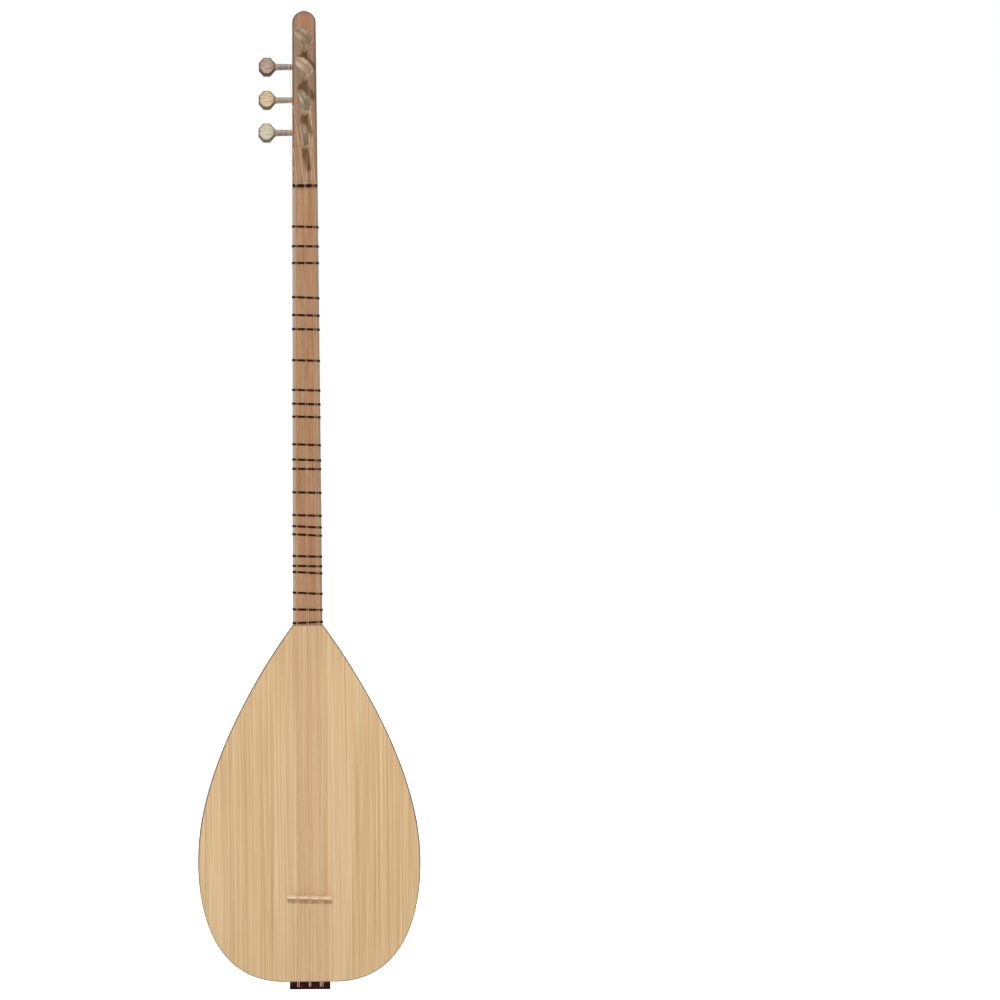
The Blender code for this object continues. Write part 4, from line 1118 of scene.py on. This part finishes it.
def make_bridge():
    """The outline is drawn flat, given its thickness and thinned towards the strings."""
    bm = bmesh.new()
    front = bm.faces.new([bm.verts.new((x, -up, BRIDGE_HALF_THICKNESS)) for x, up in bridge_outline()])
    solid = bmesh.ops.extrude_face_region(bm, geom=[front])
    for part in solid["geom"]:
        if isinstance(part, bmesh.types.BMVert):
            part.co.z = -BRIDGE_HALF_THICKNESS
    for vert in bm.verts:
        up = -vert.co.y / BRIDGE_HEIGHT
        half = BRIDGE_HALF_THICKNESS - BRIDGE_THINNING * min(1.0, up)
        vert.co.z = math.copysign(half, vert.co.z) + BRIDGE_Z
        vert.co.y -= GAP
    bridge = add_object("bridge_blank", mesh_from("bridge_blank", bm))
    soften(bridge, 0.0003)
    bridge = add_object("bridge_soft", settled(bridge))
    xs = string_xs(SPREAD_AT_BRIDGE)
    mesh = add_notches(bridge, BRIDGE_NOTCH_FLOOR, BRIDGE_Z, xs, BRIDGE_NOTCH_RADIUS)
    foot = Matrix.Translation((0, 0, BRIDGE_Z))
    mesh.transform(foot @ Matrix.Rotation(BRIDGE_ASKEW, 4, "Y") @ foot.inverted())
    add_piece("string_bridge", mesh, "bridge", PALE_BRIDGE, "bridge_wood", "bridge")


def make_tailpiece():
    low = (-TAIL_WIDTH / 2, -TAIL_FACE, 0)
    block = box_object("tail_block", low, (TAIL_WIDTH / 2, TAIL_BACK, TAIL_HEIGHT))
    soften(block, 0.0009, 3)
    block = add_object("tail_soft", settled(block))
    cutters = []
    for number, x in enumerate(string_xs(SPREAD_AT_TAIL)):
        hole = (x, -0.004, TAIL_HOLE_HEIGHT)
        groove = (x, TAIL_GROOVE_DEPTH - TAIL_FACE - TAIL_HOLE_RADIUS, TAIL_HOLE_HEIGHT)
        cutters += [
            rod_object(f"tail_hole_{number}", hole, (0, 1, 0), 0.03, TAIL_HOLE_RADIUS, sides=16),
            rod_object(f"tail_groove_{number}", groove, (0, 0, 1), 0.02, TAIL_HOLE_RADIUS, sides=16),
        ]
    mesh = cut_away(block, cutters)
    add_piece("tail_block", mesh, "saz", DARK_TAILPIECE, "dark_wood", "tailpiece")


def fret_tree():
    """A flattened cord wound round a closed path a number of times, with its knot."""
    n = Shape(
        "tied_fret",
        {
            "Half Width": TIE_HALF_WIDTH,
            "Half Rise": TIE_HALF_RISE,
            "Wraps": 2,
            "Slope": 0.0,
            "Knot": (0.0, 0.0, 0.0),
            "Knot Size": 0.0012,
        },
    )
    size = n.size
    path = n.add("GeometryNodeMeshToCurve", {"Mesh": size["Geometry"]})
    sockets = {"Geometry": path, "Amount": size["Wraps"]}
    copies, index = n.add("GeometryNodeDuplicateElements", sockets, out=None, domain="SPLINE")
    across, _, _ = n.parts(n.add("GeometryNodeInputPosition"))
    shift = (index - (size["Wraps"] - 1) / 2) * size["Half Width"] * 2.0 - across * size["Slope"]
    moved = n.add("GeometryNodeSetPosition", {"Geometry": copies, "Offset": n.vector(z=shift)})
    circle = n.add("GeometryNodeCurvePrimitiveCircle", {"Resolution": 8, "Radius": 1.0})
    profile = n.moved(circle, Scale=n.vector(size["Half Rise"], size["Half Width"], 1.0))
    cord = n.add("GeometryNodeCurveToMesh", {"Curve": moved, "Profile Curve": profile})
    ball = n.add("GeometryNodeMeshIcoSphere", {"Radius": size["Knot Size"], "Subdivisions": 2})
    squeezed = n.moved(ball, Translation=size["Knot"], Scale=(1.15, 0.8, 0.9))
    sockets = {"Vertices": 8, "Radius": size["Half Width"] * 0.8, "Depth": size["Knot Size"] * 3.4}
    rod = n.add("GeometryNodeMeshCylinder", sockets)
    ends = n.moved(rod, Translation=size["Knot"], Rotation=(0.0, math.radians(72), 0.0))
    return n.close(n.joined(ends, squeezed, cord))


def offset_outline(points, distance):
    moved = []
    for i, (x, y) in enumerate(points):
        here = Vector((x, y))
        first = (here - Vector(points[i - 1])).normalized()
        second = (Vector(points[(i + 1) % len(points)]) - here).normalized()
        normal = Vector((first.y + second.y, -first.x - second.x)).normalized()
        moved.append(here + normal * distance)
    return moved


def make_frets():
    """Each tie follows the neck's section closely and lies a little askew, as tied by hand."""
    tree = fret_tree()
    for number, (step, tilt) in enumerate(zip(FRET_STEPS, FRET_TILTS), 1):
        distance = SCALE_LENGTH * (1 - 2 ** (-step / SEMITONES))
        section = StickSection(-distance)
        z = NUT_Z - distance
        lift = TIE_ROOM + TIE_HALF_RISE
        points = [(p.x, p.y, z) for p in offset_outline(section.outline(3, 30), lift)]
        path = line_mesh(points, closed=True)
        knot = (0.0, section.depth + lift + TIE_HALF_RISE, z)
        name = f"fret_{number:02d}"
        slope = math.tan(math.radians(tilt))
        mesh = grown(f"{name}_tie", tree, path, finish=NYLON_TIE, knot=knot, slope=slope)
        add_piece(f"{name}_tie", mesh, name, None, "tie_line", name)


def peg_handle(name):
    """A flat eight-sided grip, chamfered to a thin rim on both faces."""
    bm = bmesh.new()
    to_side = Matrix.Rotation(math.pi / 2, 4, "X") @ Matrix.Rotation(math.pi / 8, 4, "Z")
    bmesh.ops.create_cone(
        bm, cap_ends=True, segments=8, radius1=1, radius2=1, depth=HANDLE_THICKNESS, matrix=to_side
    )
    flats = math.cos(math.pi / 8)
    for vert in bm.verts:
        vert.co.x *= HANDLE_WIDTH / 2 / flats
        vert.co.z *= HANDLE_LENGTH / 2 / flats
    bmesh.ops.recalc_face_normals(bm, faces=bm.faces)
    faces = [face for face in bm.faces if len(face.verts) == 8]
    bmesh.ops.inset_region(bm, faces=faces, thickness=HANDLE_BORDER, depth=0)
    inner = {vert for face in faces for vert in face.verts}
    for vert in bm.verts:
        if vert not in inner:
            vert.co.y *= HANDLE_RIM_SHARE
    handle = add_object(name, mesh_from(name, bm))
    soften(handle, 0.0003, degrees=20)
    return handle


def mark_places(mesh, turn):
    """Keeps each point's place on its own peg, so that the finish can follow the turned shape."""
    back = turn.inverted()
    marks = mesh.attributes.new("on_peg", "FLOAT_VECTOR", "POINT")
    for mark, vert in zip(marks.data, mesh.vertices):
        mark.vector = back @ vert.co


def peg_stem(name, seat):
    """The tapered stem and its collar, turned from half an outline of radii and heights."""
    tip = PEG_TIP_RECESS - seat.bore
    collar = [
        (0.0, 0.0022),
        (0.7, 0.0022),
        (0.82, 0.0004),
        (0.98, -0.0002),
        (1.0, -0.0006),
        (1.0, -COLLAR_HEIGHT * 0.5),
        (0.95, -COLLAR_HEIGHT * 0.75),
    ]
    profile = [(COLLAR_RADIUS * share, PEG_STEM + rise) for share, rise in collar]
    profile += [
        (PEG_RADIUS_AT_COLLAR, PEG_STEM - COLLAR_HEIGHT),
        (PEG_RADIUS_AT_HEAD, 0.0),
        (PEG_RADIUS_AT_TIP, tip + 0.0004),
        (PEG_RADIUS_AT_TIP - 0.0004, tip),
        (0.0, tip),
    ]
    stem = add_object(name, line_mesh([(r, 0, z) for r, z in profile]))
    screw = stem.modifiers.new("Turn", "SCREW")
    screw.steps = screw.render_steps = 32
    screw.use_merge_vertices = True
    screw.merge_threshold = 0.00001
    return stem


def winding_tree():
    """Wire on a tapered stem, wound in two coils above and below the string, its end in the stem."""
    n = Shape(
        "peg_winding",
        {
            "Lower Start": 0.0010,
            "Lower Height": 0.0021,
            "Lower Turns": 4.0,
            "Upper Start": WINDING_START,
            "Upper Height": 0.0136,
            "Upper Turns": PLAIN_COIL_TURNS,
            "Stem Radius": PEG_RADIUS_AT_HEAD,
            "Stem Taper": (PEG_RADIUS_AT_COLLAR - PEG_RADIUS_AT_HEAD) / PEG_STEM,
            "Wire Radius": PLAIN_STRING_RADIUS,
        },
    )
    size = n.size
    lift = size["Stem Radius"] + size["Wire Radius"] + 0.00003

    def coil(part):
        start, height, turns = (size[f"{part} {kind}"] for kind in ("Start", "Height", "Turns"))
        near = lift + start * size["Stem Taper"]
        far = lift + (start + height) * size["Stem Taper"]
        return n.spiral(n.vector(z=start), 20, turns, near, far, height, reverse=True)

    high = size["Upper Start"] + size["Upper Height"]
    outside = lift + high * size["Stem Taper"]
    ends = {"Start": n.vector(outside, 0.0, high), "End": n.vector(outside * 0.5, 0.0, high)}
    dive = n.add("GeometryNodeCurvePrimitiveLine", ends)
    path = n.joined(dive, coil("Upper"), coil("Lower"))
    return n.close(n.wire(path, size["Wire Radius"], 6))


def make_peg(label, seat, finish):
    """The stem with its doubles merged, and the grip in its own turn, joined into one."""
    stem = settled(peg_stem(f"{label}_stem", seat))
    bm = opened(stem)
    bmesh.ops.remove_doubles(bm, verts=bm.verts, dist=1e-6)
    bmesh.ops.recalc_face_normals(bm, faces=bm.faces)
    shut(bm, stem)
    handle = settled(peg_handle(f"{label}_grip"))
    handle.transform(seat.turn @ Matrix.Translation((0, 0, PEG_STEM + HANDLE_LENGTH / 2)))
    body = add_object(f"{label}_blank", stem)
    grip = add_object(f"{label}_grip", handle)
    cut(body, grip, "UNION")
    mesh = settled(body)
    bpy.data.objects.remove(grip)
    mark_places(mesh, seat.turn)
    mesh.transform(seat.matrix)
    add_piece(f"{label}_wood", smoothed(mesh), label, finish, "boxwood", label)


def make_winding(label, seat, radius, tree):
    finish = GREY_COIL if label.startswith("side") else WARM_COIL
    turns = PLAIN_COIL_TURNS if radius == PLAIN_STRING_RADIUS else WOUND_COIL_TURNS
    name = label.replace("peg", "winding")
    mesh = grown(f"{name}_wire", tree, finish=finish, upper_turns=turns, wire_radius=radius)
    mark_places(mesh, seat.turn)
    mesh.transform(seat.matrix)
    add_piece(f"{name}_wire", mesh, label, None, "string_steel", name)


def head_point(x, distance, lift):
    return NUT_POINT + HEAD_UP * distance + HEAD_OUT * lift + Vector((x, 0, 0))


def speaking_points(index, radius):
    """From behind the tailpiece to the nut."""
    tail_x = string_xs(SPREAD_AT_TAIL)[index]
    face = TAIL_FACE - TAIL_GROOVE_DEPTH + GAP + radius
    return [
        Vector((tail_x, TAIL_BACK - 0.001, TAIL_HOLE_HEIGHT)),
        Vector((tail_x, -face, TAIL_HOLE_HEIGHT)),
        Vector((tail_x, -face, TAIL_HEIGHT)),
        Vector((string_xs(SPREAD_AT_BRIDGE)[index], -STRING_OVER_BRIDGE, BRIDGE_Z)),
        Vector((string_xs(SPREAD_AT_NUT)[index], -STRING_OVER_NUT, NUT_Z)),
    ]


def string_reach(radius):
    """From a peg's axis to the middle of the string that meets its stem."""
    share = WINDING_START / PEG_STEM
    return part_way(PEG_RADIUS_AT_HEAD, PEG_RADIUS_AT_COLLAR, share) + GAP + radius


def front_string_points(distance, radius):
    reach = string_reach(radius)
    lift = WINDING_START - 2 * radius - GAP
    return [head_point(reach, distance - reach, lift), head_point(reach, distance, lift)]


def side_string_points(index, distance, radius):
    """Over the head's left edge, then beside it to the front of a side peg."""
    nut_x = string_xs(SPREAD_AT_NUT)[index]
    reach = string_reach(radius)
    section = StickSection(distance)
    out_x = section.half_width + WINDING_START - 2 * radius - GAP
    drop = SIDE_PEG_INSET - reach
    across = section.half_width + nut_x
    crossing = distance * across / (across + drop + NECK_EDGE_RADIUS)
    edge = StickSection(crossing)
    clear = EDGE_LIFT + radius
    corner = edge.half_width - NECK_EDGE_RADIUS
    diagonal = (NECK_EDGE_RADIUS + clear) * math.sqrt(0.5)
    wrap = NECK_EDGE_RADIUS + clear
    return [
        head_point(-corner, crossing - wrap, clear),
        head_point(-corner - diagonal, crossing, clear - wrap + diagonal),
        head_point(-edge.half_width - clear, crossing + wrap, -NECK_EDGE_RADIUS),
        head_point(-out_x, distance - reach, -drop),
        head_point(-out_x, distance, -drop),
    ]


def string_tree():
    """A wire along a line of points, its bends rounded, and its tail end wound round itself."""
    n = Shape(
        "string_wire",
        {
            "Wire Radius": PLAIN_STRING_RADIUS,
            "Bend Radius": 0.0006,
            "Twist Start": (0.0, 0.0, 0.0),
            "Twist Height": TAIL_HEIGHT - TAIL_HOLE_HEIGHT - TWIST_START,
            "Twist Wire": 0.00014,
            "Twist Turns": 10.0,
        },
    )
    size = n.size
    path = n.add("GeometryNodeMeshToCurve", {"Mesh": size["Geometry"]})
    sockets = {"Curve": path, "Count": 4, "Radius": size["Bend Radius"], "Limit Radius": True}
    bent = n.add("GeometryNodeFilletCurve", sockets, mode="POLY")
    around = size["Wire Radius"] + size["Twist Wire"]
    turns, height = size["Twist Turns"], size["Twist Height"]
    twist = n.spiral(size["Twist Start"], 14, turns, around, around, height)
    return n.close(n.joined(n.wire(twist, size["Twist Wire"], 6), n.wire(bent, size["Wire Radius"], 8)))


def make_strings_and_pegs(seats):
    wire_tree = string_tree()
    wound_tree = winding_tree()
    pegs = [("side", number) for number in (3, 2, 1)] + [("front", number) for number in (4, 3, 2, 1)]
    for index, (row, number) in enumerate(pegs):
        radius, finish = PLAIN_STRING_RADIUS, PLAIN_STEEL
        if index in WOUND_STRINGS:
            radius, finish = WOUND_STRING_RADIUS, WOUND_STEEL
        distance = (SIDE_PEG_SPOTS if row == "side" else FRONT_PEG_SPOTS)[number - 1]
        seat = seats[row, number]
        if row == "side":
            to_peg = side_string_points(index, distance, radius)
        else:
            to_peg = front_string_points(distance, radius)
        label = f"{row}_peg_{number}"
        make_peg(label, seat, PEG_WOODS[f"{row}_{number}"])
        make_winding(label, seat, radius, wound_tree)
        points = speaking_points(index, radius) + to_peg
        name = f"string_{index + 1}"
        start = tuple(points[1] + Vector((0, 0, TWIST_START)))
        mesh = grown(
            f"{name}_wire",
            wire_tree,
            line_mesh(points),
            finish=finish,
            wire_radius=radius,
            twist_start=start,
        )
        add_piece(f"{name}_wire", mesh, "saz", None, "string_steel", name)


def make_saz():
    stick = loft("stick", [StickSection(s).ring() for s in stick_stations()])
    seats = {}
    for number, (distance, turn) in enumerate(zip(FRONT_PEG_SPOTS, FRONT_HANDLE_TURNS), 1):
        seats["front", number] = PegSeat(distance, turn, False)
    for number, distance in enumerate(SIDE_PEG_SPOTS, 1):
        seats["side", number] = PegSeat(distance, 0, True)
    make_bowl()
    make_soundboard()
    make_neck(stick)
    make_fingerboard(stick)
    make_head(stick, list(seats.values()))
    make_nut()
    make_bridge()
    make_tailpiece()
    make_frets()
    make_strings_and_pegs(seats)
    for name in ("upper_brace", "lower_brace"):
        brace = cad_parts[name]
        brace.data.materials.clear()
        brace.data.materials.append(SPRUCE)


# The studio


def white_rays(n):
    """1 for what the camera sees, straight, mirrored or through glass, and 0 for light on the saz."""
    seen, mirrored, through = (
        n.add("ShaderNodeLightPath", out=f"Is {kind} Ray") for kind in ("Camera", "Glossy", "Transmission")
    )
    return (seen + mirrored + through).held()


def plain_stage():
    """A pale floor that keeps a shadow, and a white room."""
    n = Finish("pale_floor")
    matt = n.add("ShaderNodeBsdfDiffuse", {"Color": (0.86, 0.86, 0.86, 1)})
    glow = n.add("ShaderNodeEmission", {"Color": (1, 1, 1, 1), "Strength": FLOOR_LIGHT})
    both = n.add("ShaderNodeAddShader", {0: matt, 1: glow})
    mixed = n.add("ShaderNodeMixShader", {0: white_rays(n), 1: matt, 2: both})
    n.add("ShaderNodeOutputMaterial", {"Surface": mixed})
    bm = bmesh.new()
    bmesh.ops.create_grid(bm, x_segments=1, y_segments=1, size=30)
    mesh = mesh_from("floor", bm)
    mesh.materials.append(n.material)
    floor = add_object("floor", mesh)
    floor.location.z = FLOOR_Z

    world = bpy.data.worlds.new("studio")
    world.use_nodes = True
    world.node_tree.nodes.clear()
    n = Nodes(world.node_tree)
    strength = WORLD_LIGHT + white_rays(n) * (1 - WORLD_LIGHT)
    shown = n.add("ShaderNodeBackground", {"Color": (1, 1, 1, 1), "Strength": strength})
    n.add("ShaderNodeOutputWorld", {"Surface": shown})
    bpy.context.scene.world = world


def add_lamp(name, place, aim, width, height, power):
    light = bpy.data.lights.new(name, "AREA")
    light.shape = "RECTANGLE"
    light.size = width
    light.size_y = height
    light.energy = power
    lamp = add_object(name, light)
    lamp.location = place
    direction = Vector(aim) - Vector(place)
    lamp.rotation_euler = direction.to_track_quat("-Z", "Y").to_euler()
    lamp.visible_camera = False


def add_lamps():
    """Parallel light from above in front, a weak fill, and two tall strips behind for the neck."""
    light = bpy.data.lights.new("front_light", "SUN")
    light.energy = FRONT_LIGHT
    light.angle = math.radians(5)
    lamp = add_object("front_light", light)
    lamp.rotation_euler = Vector((0.10, 1.0, -0.95)).to_track_quat("-Z", "Y").to_euler()
    add_lamp("right_fill", (2.6, -2.6, 1.0), aim=(0, 0, 0.6), width=1.2, height=1.6, power=8)
    for name, x in (("back_left_strip", -0.68), ("back_right_strip", 0.52)):
        add_lamp(name, (x, 2.05, 0.75), aim=(0, 0, 0.75), width=0.42, height=1.9, power=12)


def add_camera():
    """In front of the neck's middle, with the saz left of the picture's centre as photographed."""
    camera = add_object("camera", bpy.data.cameras.new("camera"))
    camera.data.sensor_width = 36
    camera.data.lens = CAMERA_LENS
    camera.data.shift_x = CAMERA_SHIFT
    level = Matrix.Rotation(math.pi / 2, 4, "X")
    lean = Matrix.Rotation(CAMERA_LEAN, 4, "Z")
    camera.matrix_world = Matrix.Translation(CAMERA_PLACE) @ level @ lean
    bpy.context.scene.camera = camera
    bpy.context.scene.view_settings.view_transform = "Standard"


add_camera()
plain_stage()
add_lamps()
make_saz()
